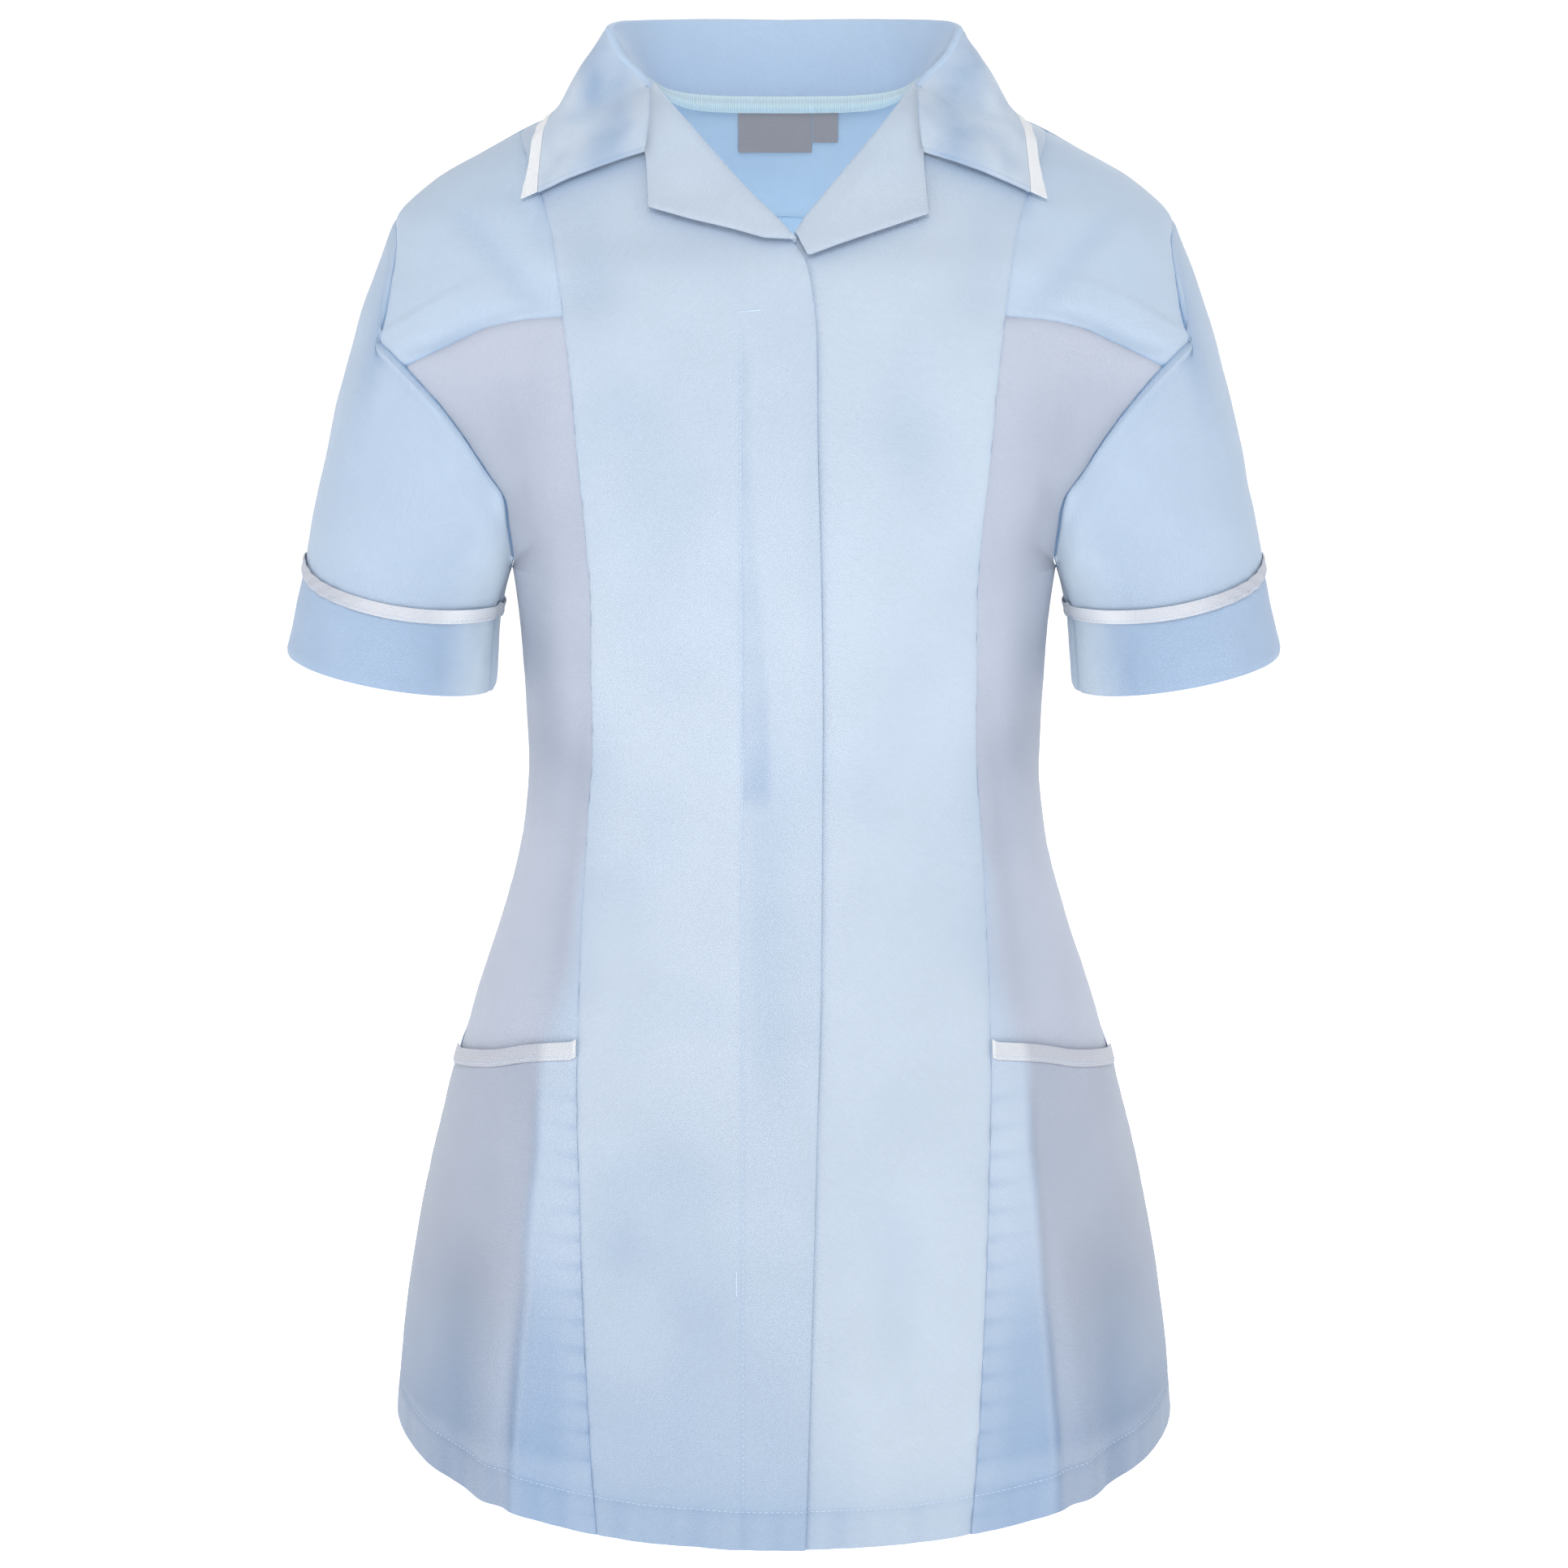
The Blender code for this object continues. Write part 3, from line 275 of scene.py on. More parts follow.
def to_hem(edge):
    """The same edge, drawn out or in so that it ends on the hem."""
    edge = np.array(edge)
    reach = hem_drop(edge[-1, 0]) - edge[-1, 1]
    edge[:, 1] += reach * ease(edge[:, 1], edge[-1, 1] - 60, edge[-1, 1])
    return edge


def refined(values, times):
    """The same run of values with more of them between each two."""
    return np.interp(np.arange((len(values) - 1) * times + 1) / times, np.arange(len(values)), values)


def shares_of(points):
    """Share of the way along a line at each of its points."""
    run = np.concatenate([[0], np.cumsum(np.linalg.norm(np.diff(points, axis=0), axis=1))])
    return run / run[-1]


def lengths(edge):
    """Share of the way along an edge of angles and drops at each of its points."""
    return shares_of(plain_grid(edge))


def patch(top, bottom, first, last, run=lengths):
    """A grid that fills four edges: rows go down, and columns from the first edge to the last."""
    across = (run(top) + run(bottom)) / 2
    down = (run(first) + run(last)) / 2
    u, v = across[None, :, None], down[:, None, None]
    between = (1 - v) * top[None] + v * bottom[None] + (1 - u) * first[:, None] + u * last[:, None]
    corners = ((1 - u) * (1 - v) * top[0] + u * (1 - v) * top[-1]
               + (1 - u) * v * bottom[0] + u * v * bottom[-1])
    return between - corners


def distances(points, axis):
    """Distance along the cloth from its first row (axis 0) or column (axis 1)."""
    steps = np.linalg.norm(np.diff(points, axis=axis), axis=-1)
    start = np.zeros_like(steps.take([0], axis))
    return np.concatenate([start, np.cumsum(steps, axis)], axis)


GROOVE_SPAN = 1.5
PUCKER_SPAN = 7.0
SMOOTH_ANGLE = math.radians(50)


def from_edges(points):
    """Distance along the cloth from each of a grid's four edges."""
    down, across = distances(points, 0), distances(points, 1)
    return {"top": down, "bottom": down[-1:] - down, "first": across, "last": across[:, -1:] - across}


def unit(vectors):
    """The same vectors with a length of 1."""
    return vectors / np.maximum(np.linalg.norm(vectors, axis=-1, keepdims=True), 1e-9)


def sewn(points, normals, seams, seed):
    """Draws cloth in along its sewn edges, with puckers that die away from them.

    seams gives, for each edge, the depth of the groove, the height of the puckers and how strong the
    painted shade of the seam is. It returns the points and that painted shade: a dark line along the
    seam, a soft halo beside it, and shade in the puckers."""
    away = from_edges(points)
    move, shade = np.zeros(points.shape[:2]), np.zeros(points.shape[:2])
    for edge, (groove, pucker, dark) in seams.items():
        along = away["first"] if edge in ("top", "bottom") else away["top"]
        beat = (np.sin(along / 1.9 + seed) + 0.8 * np.sin(along / 3.1 + 2.1 * seed)
                + 0.7 * np.sin(along / 5.3 + 4.3 * seed)) / 2.5
        swell = 0.6 + 0.4 * np.sin(along / 23 + 3 * seed)
        move -= groove * bell(away[edge], 0, GROOVE_SPAN)
        move += pucker * beat * swell * np.exp(-away[edge] / PUCKER_SPAN)
        # Painted shade: a dark line along the seam, a soft halo beside it, and shade in the puckers.
        shade += dark * (bell(away[edge], 0, 0.7) + 0.14 * swell * np.exp(-away[edge] / 4.0))
        shade += 0.3 * dark * np.maximum(beat, 0) * np.exp(-away[edge] / 2.5)
    return points + normals * move[..., None], shade


def crowded(grid):
    """The same grid with two more lines of points close inside each of its four edges."""
    for axis in (0, 1):
        count = grid.shape[axis]
        near = np.array([0.22, 0.55])
        places = np.concatenate([[0], near, np.arange(1, count - 1), count - 1 - near[::-1], [count - 1]])
        low = np.minimum(places.astype(int), count - 2)
        part = (places - low).reshape((-1, 1, 1) if axis == 0 else (1, -1, 1))
        grid = grid.take(low, axis) * (1 - part) + grid.take(low + 1, axis) * part
    return grid


def hung_from(top, first, last):
    """A grid between this top edge, these two sides and the hem."""
    angles = np.linspace(first[-1, 0], last[-1, 0], len(top))
    return crowded(patch(top, np.stack([angles, hem_drop(angles)], -1), first, last))


def lay_cloth(name, slot, points, facing, thickness, material, flat, held, area=None, tube=False,
              extra=False, **tones):
    """A grid of cloth, moved so that its outside lies on these points and faces the given way.

    Its UV map is the flat cloth in metres, so a weave keeps its scale. A tube's last column lies on
    its first, and the two are sewn together. tones are attributes that the material reads. It
    replaces the node of its own name without the last word, unless it is an extra piece."""
    rows, columns = points.shape[:2]
    bpy.ops.object.select_all(action="DESELECT")
    bpy.ops.mesh.primitive_grid_add(x_subdivisions=columns - 1, y_subdivisions=rows - 1, size=2)
    piece = bpy.context.object
    piece.name = name
    mesh = piece.data
    start = np.empty(len(mesh.vertices) * 3, np.float32)
    mesh.vertices.foreach_get("co", start)
    start = start.reshape(-1, 3)
    column = np.rint((start[:, 0] + 1) / 2 * (columns - 1)).astype(int)
    row = np.rint((1 - start[:, 1]) / 2 * (rows - 1)).astype(int)
    mesh.vertices.foreach_set("co", (points[row, column] * MM).astype(np.float32).ravel())
    across, down = distances(points, 1), distances(points, 0).mean(1, keepdims=True)
    weave = np.stack([across - across[:, columns // 2][:, None], np.broadcast_to(-down, across.shape)], -1)
    corners = np.empty(len(mesh.loops), np.int32)
    mesh.loops.foreach_get("vertex_index", corners)
    mesh.uv_layers[0].data.foreach_set("uv", (weave[row, column][corners] * MM).astype(np.float32).ravel())
    for tone, values in tones.items():
        values = np.broadcast_to(values, (rows, columns))[row, column]
        spread = mesh.attributes.new(tone, "FLOAT", "POINT")
        spread.data.foreach_set("value", np.clip(values, 0, 1).astype(np.float32))
    mesh.update()
    middle = mesh.polygons[len(mesh.polygons) // 2]
    out = Vector(facing[row[middle.vertices[0]], column[middle.vertices[0]]])
    bpy.ops.object.mode_set(mode="EDIT")
    bpy.ops.mesh.select_all(action="SELECT")
    if tube:
        bpy.ops.mesh.remove_doubles(threshold=MM * 0.01)
    if middle.normal.dot(out) < 0:
        bpy.ops.mesh.flip_normals()
    bpy.ops.object.mode_set(mode="OBJECT")
    wall = piece.modifiers.new("wall", "SOLIDIFY")
    wall.thickness = thickness * MM
    wall.offset = -1
    bpy.ops.object.modifier_apply(modifier="wall")
    bpy.ops.object.shade_smooth_by_angle(angle=SMOOTH_ANGLE)
    mesh.materials.clear()
    mesh.materials.append(material)
    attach(piece, "root")
    if not extra:
        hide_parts(name.rsplit("_", 1)[0])


class Reading:
    """A number that changes over a surface. Arithmetic on it adds the Math nodes."""

    def __init__(self, finish, socket):
        self.finish, self.socket = finish, socket

    def math(self, operation, *values):
        made = self.finish.node("ShaderNodeMath", {"operation": operation}, dict(enumerate(values)))
        return Reading(self.finish, made.outputs[0])

    def __add__(self, other):
        return self.math("ADD", self, other)

    def __sub__(self, other):
        return self.math("SUBTRACT", self, other)

    def __rsub__(self, other):
        return self.math("SUBTRACT", other, self)

    def __mul__(self, other):
        return self.math("MULTIPLY", self, other)

    __radd__, __rmul__ = __add__, __mul__

    def sine(self):
        return self.math("SINE", self)


class Finish:
    """One material: its node tree, and the one way to add a node to it."""

    def __init__(self, name, roughness, sheen):
        self.material = bpy.data.materials.new(name)
        self.material.use_nodes = True
        self.tree = self.material.node_tree
        self.shader = self.tree.nodes["Principled BSDF"]
        self.shader.inputs["Roughness"].default_value = roughness
        self.shader.inputs["Sheen Weight"].default_value = sheen
        self.shader.inputs["Sheen Roughness"].default_value = 0.4

    def put(self, socket, value):
        if isinstance(value, Reading):
            value = value.socket
        if isinstance(value, bpy.types.NodeSocket):
            self.tree.links.new(value, socket)
        else:
            socket.default_value = value

    def node(self, kind, settings, sockets):
        made = self.tree.nodes.new(kind)
        for name, value in settings.items():
            setattr(made, name, value)
        for name, value in sockets.items():
            self.put(made.inputs[name], value)
        return made

    def noise(self, vector, scale, detail=2):
        made = self.node("ShaderNodeTexNoise", {}, {"Vector": vector, "Scale": scale, "Detail": detail})
        return Reading(self, made.outputs["Fac"])

    def tone(self, name):
        return Reading(self, self.node("ShaderNodeAttribute", {"attribute_name": name}, {}).outputs["Fac"])

    def threads(self, *runs):
        """The UV map, and the wave of each run of threads: its shares across and along, and its pitch."""
        uv = self.node("ShaderNodeUVMap", {"uv_map": "UVMap"}, {}).outputs[0]
        parts = self.node("ShaderNodeSeparateXYZ", {}, {0: uv})
        across, along = Reading(self, parts.outputs[0]), Reading(self, parts.outputs[1])
        return uv, *(((across * u + along * v) * (2 * math.pi / pitch)).sine() for u, v, pitch in runs)

    def blend(self, share, dark, light):
        dark, light = ((*part, 1) if isinstance(part, (tuple, list)) else part for part in (dark, light))
        made = self.node("ShaderNodeMix", {"data_type": "RGBA"}, {"Factor": share, 6: dark, 7: light})
        return made.outputs[2]

    def varied(self, share, colour, darker, lighter):
        """A colour that varies from a darker to a lighter form of itself."""
        return self.blend(share, [part * (1 - darker) for part in colour],
                          [min(1, part * (1 + lighter)) for part in colour])

    def finished(self, body, roughness, height, depth):
        """The material, with this colour, roughness, and relief of a depth in metres."""
        bump = self.node("ShaderNodeBump", {}, {"Height": height, "Distance": depth, "Strength": 1.0})
        for name, value in (("Base Color", body), ("Roughness", roughness), ("Normal", bump.outputs[0])):
            self.put(self.shader.inputs[name], value)
        return self.material


def screen_colour(red, green, blue):
    """A shader colour from a screen colour of 0 to 255."""
    return tuple(((part / 255 + 0.055) / 1.055) ** 2.4 for part in (red, green, blue))


def tinted(colour, shares):
    return [part * share for part, share in zip(colour, shares)]


TWILL_PITCH = 0.00115
THREAD_PITCH = 0.00058
PAINTED_SHADE_BLUE = (0.36, 0.52, 0.72)
PAINTED_SHADE_GREY = (0.38, 0.42, 0.47)


def twill(name, colour, contrast=0.05, greyed=None):
    """Fine diagonal twill of a cotton mix: raised wales, slightly uneven threads, a soft sheen.

    Painted shade: it darkens to a deeper blue where the painted "shade" of the cloth rises. It turns
    to greyed where its "grey" does: a greyer tone of the side panels that is mostly painted shade,
    painted light that makes the sleeves and cuffs paler near the body, and a bluer painted light on
    the collar's stand."""
    finish = Finish(name, 0.62, 0.2)
    uv, wale, thread = finish.threads((1, 1, TWILL_PITCH), (1, -0.5, THREAD_PITCH))
    slub, cloudy = finish.noise(uv, 900), finish.noise(uv, 22, 3)
    share = 0.5 + wale * 0.26 + thread * 0.1 + (slub - 0.5) * 0.5 + (cloudy - 0.5) * 0.9
    body = finish.varied(share, colour, contrast, contrast)
    # The painted shade colour: a deeper blue, or a deeper grey where the cloth is greyed.
    deep = tinted(colour, PAINTED_SHADE_BLUE)
    if greyed:
        grey = finish.tone("grey")
        painted_greyed = finish.varied(share, greyed, contrast, contrast)
        body = finish.blend(grey + (cloudy - 0.5) * 0.3, body, painted_greyed)
        deep = finish.blend(grey, deep, tinted(greyed, PAINTED_SHADE_GREY))
    return finish.finished(finish.blend(finish.tone("shade"), body, deep),
                           0.6 + (slub - 0.5) * 0.16 + wale * 0.03,
                           wale * 0.5 + thread * 0.22 + slub * 0.8, 0.00009)


CENTRE_CLOTH = twill("centre_front_twill", screen_colour(196, 210, 227))

# Inner edges of the two fronts, from the high shoulder point down the neck seam and the roll line of
# the lapel to the break, and on to the hem. Here x is signed.
RIGHT_EDGE = table("drop x", [
    (0, -66), (1.9, -63.2), (18.8, -46), (35.9, -30.2), (52.9, -14.4), (70, 4.8), (80, 10.9),
    (95, 13.8), (113, 15.4), (161, 15.8), (219, 17.4), (301, 18.6), (423, 18.1), (501, 16.1),
    (580, 14.1), (659, 11.8), (703, 10.6),
])
LEFT_EDGE = table("drop x", [
    (0, 66), (1.9, 63.2), (18.8, 48.2), (35.9, 33), (52.9, 18), (68, 4.5), (84, -12), (95, -17),
    (113, -18), (423, -18.5), (580, -20), (703, -21),
])
FRONT_PRINCESS = table("drop x", [
    (20.5, 130), (34, 123.7), (48, 117), (70, 110), (103, 105), (133, 101), (171, 98), (206, 95),
    (244, 93.5), (294, 94.6), (349, 98.3), (372, 100), (400, 101.5), (440, 102.7), (470, 102.7),
    (507, 102), (585, 100), (665, 96), (703, 93),
])
UPPER_ROWS = [20.5, 30, 42, 54, 66, 79, 91, 103]
MIDDLE_ROWS = [103, 126, 148, 170, 192, 215, 237]
LOWER_ROWS = [237, 262, 288, 314, 340, 366, 392, 418, 444, 470, 496, 523, 550, 577, 604, 631, 657, 682, 703]
EDGE_ROWS = [0, 1.9, 18.8, 35.9, 52.9, 70, 86, 103]
ROW_TIMES = 8
OVERLAP_RISE = 1.9
OVERLAP_X = (-46.0, -23.0)
OVERLAP_DROP = (38.0, 58.0)
# Seams: depth of the groove, height of the puckers, and strength of the painted shade along the seam.
FRONT_SEAM = (0.5, 0.42, 0.14)
HEM_GROOVE = 0.55
HEM_RIPPLE = 0.45
HEM_TONE = 0.30
HEM_TONE_REACH = 34.0
TROUGH_SHADE = 0.06
CLOUD_SHADE, CLOUD_SPAN = 0.10, 38
PANEL_SOFTNESS, PANEL_SOFT_SPAN = 0.35, 26
SHOULDER_INNER = [0, 2.4, 5.6, 10, 15, 20.5]
SIDES = (("right", -1), ("left", 1))


def hem_shape(grid, points, normals, seed):
    """The hem: the row of stitches sinks in, and the turned-up cloth ripples, most at the sides. It also
    returns a shade: painted shade in the stitch line and the ripples, and a tone that grows darker and
    bluer towards the hem and at the sides.
    """
    above = hem_drop(grid[..., 0]) - grid[..., 1]
    past_stitches = np.maximum(above - HEM_HEIGHT, 0)
    run = distances(points, 1)
    wave = np.sin(run / 3.3 + seed) + np.sin(run / 2.1 + 2.7 * seed) + 0.9 * np.sin(run / 5.9 + seed)
    sides = np.abs(np.sin(np.radians(grid[..., 0]))) ** 3
    line = bell(above, HEM_HEIGHT, GROOVE_SPAN)
    move = HEM_RIPPLE * (1 - 0.85 * sides) * wave / 3 * np.exp(-past_stitches / 9) - HEM_GROOVE * line
    turned_up = ease(HEM_HEIGHT - above, -1.5, 1)
    low = np.exp(-past_stitches / HEM_TONE_REACH)
    # Painted shade in the stitch line and the ripples; the tone also grows darker and bluer towards the hem.
    shade = 0.10 * line + (HEM_TONE + 0.12 * sides) * low + turned_up * (0.04 - 0.02 * wave)
    return points + normals * move[..., None], shade


def torso_panel(name, slot, grid, material, seams, flat, area, seed, out=0.0, thickness=CLOTH, shade=0,
                **tones):
    """One panel of the body, from its grid of angles and drops."""
    plain = plain_grid(grid)
    normals = outward(plain)
    points = on_form(grid[..., 0], grid[..., 1], out)
    points = points + normals * (PANEL_SOFTNESS * unevenness(plain, PANEL_SOFT_SPAN, seed))[..., None]
    points, seam_shade = sewn(points, normals, seams, seed)
    if "bottom" not in seams:
        points, hem_shade = hem_shape(grid, points, normals, seed)
        seam_shade = seam_shade + hem_shade
    # Painted shade: deeper in the troughs of the folds, and in soft clouds at random places.
    trough_shade = TROUGH_SHADE * np.maximum(-fold_height(plain), 0)
    cloud_shade = CLOUD_SHADE * np.maximum(unevenness(plain, CLOUD_SPAN, seed + 80), 0)
    lay_cloth(name, slot, points, normals, thickness, material, flat, "hung", area,
              shade=seam_shade + trough_shade + cloud_shade + shade, **tones)


def centre_front(side, edge_curve, column_times):
    """Grid of angles and drops of a centre front."""
    below = MIDDLE_ROWS[1:] + LOWER_ROWS[1:]
    inner = to_hem(seam(edge_curve, refined(EDGE_ROWS + below, ROW_TIMES), 1, 1))
    outer = to_hem(seam(FRONT_PRINCESS, refined(UPPER_ROWS + below, ROW_TIMES), side, 1))
    return hung_from(side_line(side, refined(SHOULDER_INNER, column_times), 1), inner, outer)


# Lower edges of the collar and of the lapels, from the inner end out, as distances from the middle
# and drops. The cloth under them lies in a soft deep blue shade.
COLLAR_FRONT = ((65, 118), (29.5, 47.3))
LAPEL_LOWER = {-1: ((-4.8, 9.3, 32, 63.8), (70, 69.6, 63.4, 54.9)), 1: ((11.3, 68), (76.1, 57.9))}


def below_line(u, drop, line, reach):
    """How near a point is below a line, from 1 at the line to 0."""
    places, drops = line
    share = (u - places[0]) / (places[-1] - places[0])
    under = drop - np.interp(u, places, drops)
    beside = within(share, -0.05, 0.03, 0.97, 1.05)
    return beside * ease(under, -1.5, 0) * np.exp(-np.maximum(under, 0) / reach)


def under_edges(x, drop, side):
    """Shade below the collar and the lapel of one side."""
    return (0.5 * below_line(x * side, drop, COLLAR_FRONT, 7)
            + 0.35 * below_line(x * side, drop, LAPEL_LOWER[side], 2.8))


def overlap(x, drops):
    """How far the right front stands out over the left one."""
    return OVERLAP_RISE * ease(x, *OVERLAP_X) * ease(drops, *OVERLAP_DROP)


PLACKET_X = -20.2
PRESSED_INNER = (-20.8, -19.6)
PRESSED_OUTER_TOP, PRESSED_OUTER_LOW = -16.0, -7.0
PRESSED_DROP = (108, 130, 330, 344)
FRONT_SEAMS = {"top": (0.4, 0.2, 0.4), "last": FRONT_SEAM, "first": (0.4, 0.1, 0.1)}
FRONT_FLAT = (0.20, 0.75)
BUST_FADE = (190, 260)
right_grid = centre_front(-1, RIGHT_EDGE, 14)
right_drops = right_grid[..., 1]
right_plain = plain_grid(right_grid)
right_x = right_plain[..., 0]
# The placket band sinks a little and is painted darker as its shade, and so is the stitch line.
pressed_end = PRESSED_OUTER_TOP + (PRESSED_OUTER_LOW - PRESSED_OUTER_TOP) * ease(right_drops, 150, 320)
pressed = ease(right_x, *PRESSED_INNER) * (1 - ease(right_x - pressed_end, -2.5, 2.5))
pressed = pressed * within(right_drops, *PRESSED_DROP) * (0.55 + 0.7 * ease(right_drops, 240, 340))
pressed = pressed * (1 + 0.5 * unevenness(right_plain, 16, 90))
placket_line = bell(right_x, PLACKET_X, 1.3) * ease(right_drops, 100, 112)
waist_shade = ease(right_x, -25, -12) * within(right_drops, 285, 330, 450, 540)
waist_shade = waist_shade * (1 + 0.6 * unevenness(right_plain, 22, 91))
# Painted shade on the right front: the sunken placket band and stitch line, a patch at the waist beside the
# placket, darker over the upper chest and low down, and under the collar and lapel.
torso_panel("front_centre_right_cloth", "centre_cloth", right_grid, CENTRE_CLOTH, FRONT_SEAMS,
            FRONT_FLAT, 0.082, 1.3, overlap(right_x, right_drops) - 0.3 * pressed - 0.35 * placket_line,
            PLACKET_CLOTH,
            shade=0.2 * pressed + 0.06 * (1 - ease(right_drops, *BUST_FADE)) + 0.09 * waist_shade
            + 0.08 * placket_line + 0.18 * ease(right_drops, 470, 620)
            + under_edges(right_x, right_drops, -1))
left_grid = centre_front(1, LEFT_EDGE, 20)
left_drops = left_grid[..., 1]
left_x = plain_grid(left_grid)[..., 0]
# Painted shadow: a thin dark line on the left front just beyond the edge of the right front that lies over
# it.
edge_shadow = bell(left_x - read(RIGHT_EDGE, left_drops), 0.4, 1.0) * ease(left_drops, 72, 84)
# Painted shade on the left front: that shadow line, a little over the upper chest, less low down towards the
# outside, and under the collar and lapel.
torso_panel("front_centre_left_cloth", "centre_cloth", left_grid, CENTRE_CLOTH, FRONT_SEAMS,
            FRONT_FLAT, 0.085, 2.6,
            shade=0.2 * edge_shadow + 0.03 * (1 - ease(left_drops, *BUST_FADE))
            - 0.14 * ease(left_drops, 520, 600) * ease(left_x, 20, 50) + under_edges(left_x, left_drops, 1))


# Front shoulder pieces and side fronts. Each side has an upper piece over the bust, sewn to the lower
# one along an arched seam, and both are sewn into the long princess seam.
SHOULDER_CLOTH = twill("front_shoulder_twill", screen_colour(190, 208, 229))
# The side cloth's greyed colour is painted shade: the side panels turn greyer where they turn away.
SIDE_CLOTH = twill("side_panel_twill", screen_colour(194, 210, 230), greyed=screen_colour(190, 198, 216))
# The cloth is painted greyest outside this line, which is the soft fold down each pocket: painted shade where
# the side fronts turn away.
GREY_EDGE = table("drop x", [(103, 84), (330, 84), (390, 103), (440, 109), (460, 114), (471, 119), (514, 120),
                             (545, 123.5), (575, 126), (622, 130.5), (672, 134), (703, 134.5)])
ARCH = table("x drop", [(105, 103), (120, 104.5), (141, 109), (161, 118.5), (184, 131)])
FRONT_ARMHOLE = table("drop x", [
    (64, 191.5), (74, 189.5), (89, 191), (112, 195), (119.5, 198), (125, 191), (131, 184),
    (160, 159), (184, 143.5), (194, 137), (205, 135.5), (228, 134), (237, 136.5),
])
UPPER_ARMHOLE_ROWS = [64, 74, 84, 95, 106, 116, 124, 131]
MIDDLE_ARMHOLE_ROWS = [131, 148, 166, 184, 203, 222, 237]
SHOULDER_OUTER = [20.5, 27, 34, 41, 48, 56, 64]
SIDE_TIMES = 6
# Seams: depth of the groove, height of the puckers, and strength of the painted shade along the seam.
ARCH_SEAM = (0.8, 0.2, 0.2)
ARMHOLE_SEAM = (0.5, 0.25, 0.1)
SIDE_SEAM = (0.6, 0.3, 0.35)
PLAIN_SEAM = (0.6, 0.2, 0.35)


def cross_seam(curve, xs, side, face):
    """Angle and drop of points of a seam that runs across, at the given distances from the middle."""
    drops = read(curve, xs)
    return np.stack([angle_at(side * np.asarray(xs, float), drops, face), drops], -1)


def armhole_edge(curve, rows, side, face, count=None):
    """An armhole seam with its points spaced evenly along the cloth."""
    close = seam(curve, refined(rows, 40), side, face)
    wanted = np.linspace(0, 1, (count or (len(rows) - 1) * ROW_TIMES) + 1)
    return np.stack([np.interp(wanted, lengths(close), close[:, part]) for part in (0, 1)], -1)


def outer_edge(curve, rows, side, face):
    """The edge of a side panel, down its armhole and then down the side seam to the hem."""
    return to_hem(np.concatenate([armhole_edge(curve, rows, side, face),
                                  side_line(side, refined(LOWER_ROWS, ROW_TIMES)[1:], face)]))


def grey_and_painted_shade(grid, softness=1.0):
    """How grey the cloth of the side panels is at each point of a grid. On the fronts it is painted
    shade, greyest outside the fold down each pocket; on the backs it is the same everywhere.
    """
    plain = plain_grid(grid)
    past_fold = np.abs(plain[..., 0]) - read(GREY_EDGE, grid[..., 1])
    front = ease(past_fold / softness + 5 * unevenness(plain, 40, 71), -7, 11)
    return np.where(plain[..., 1] < 0, 0.1 + 0.85 * front, 0.6)


def side_shade(x, drops):
    """Painted shade on the side fronts: most at the sides of the waist, and least over the bust and on
    the hips."""
    upper = 0.27 * within(drops, 108, 165, 325, 400) * (0.45 + 0.55 * ease(np.abs(x), 102, 125))
    return upper + 0.17 * within(drops, 215, 260, 320, 370) * ease(np.abs(x), 104, 122)


ARCH_XS = np.linspace(ARCH["x"][0], ARCH["x"][-1], (len(SHOULDER_OUTER) - 1) * SIDE_TIMES + 1)
side_front_grids = {}
for name, side in SIDES:
    arch = cross_seam(ARCH, ARCH_XS, side, 1)
    upper = crowded(patch(side_line(side, refined(SHOULDER_OUTER, SIDE_TIMES), 1), arch,
                          seam(FRONT_PRINCESS, refined(UPPER_ROWS, ROW_TIMES), side, 1),
                          armhole_edge(FRONT_ARMHOLE, UPPER_ARMHOLE_ROWS, side, 1)))
    plain = plain_grid(upper)
    # Painted shade just above the outer part of the arched seam.
    over_arch_shade = 0.36 * np.exp(-from_edges(plain)["bottom"] / 3.2) * ease(np.abs(plain[..., 0]), 132, 165)
    torso_panel(f"front_shoulder_{name}_cloth", "side_cloth", upper, SHOULDER_CLOTH,
                {"top": PLAIN_SEAM, "bottom": ARCH_SEAM, "first": FRONT_SEAM, "last": ARMHOLE_SEAM},
                (0.12, 0.13), 0.0105, 3.1 + side,
                shade=over_arch_shade + under_edges(plain[..., 0], upper[..., 1], side))
    inner = to_hem(seam(FRONT_PRINCESS, refined(MIDDLE_ROWS + LOWER_ROWS[1:], ROW_TIMES), side, 1))
    lower = hung_from(arch, inner, outer_edge(FRONT_ARMHOLE, MIDDLE_ARMHOLE_ROWS, side, 1))
    side_front_grids[side] = lower
    plain = plain_grid(lower)
    # Painted shadow of the sleeve on the body beside the lower armhole; with it, the painted shade of the
    # side fronts, and their greyer tone, which is painted shade too.
    sleeve_shadow = np.exp(-from_edges(plain)["last"] / 6) * within(lower[..., 1], 132, 165, 186, 202)
    torso_panel(f"front_side_{name}_cloth", "side_cloth", lower, SIDE_CLOTH,
                {"top": ARCH_SEAM, "first": FRONT_SEAM, "last": SIDE_SEAM}, (0.20, 0.66), 0.066, 5.2 + side,
                shade=0.4 * sleeve_shadow + side_shade(plain[..., 0], lower[..., 1]), grey=grey_and_painted_shade(lower))


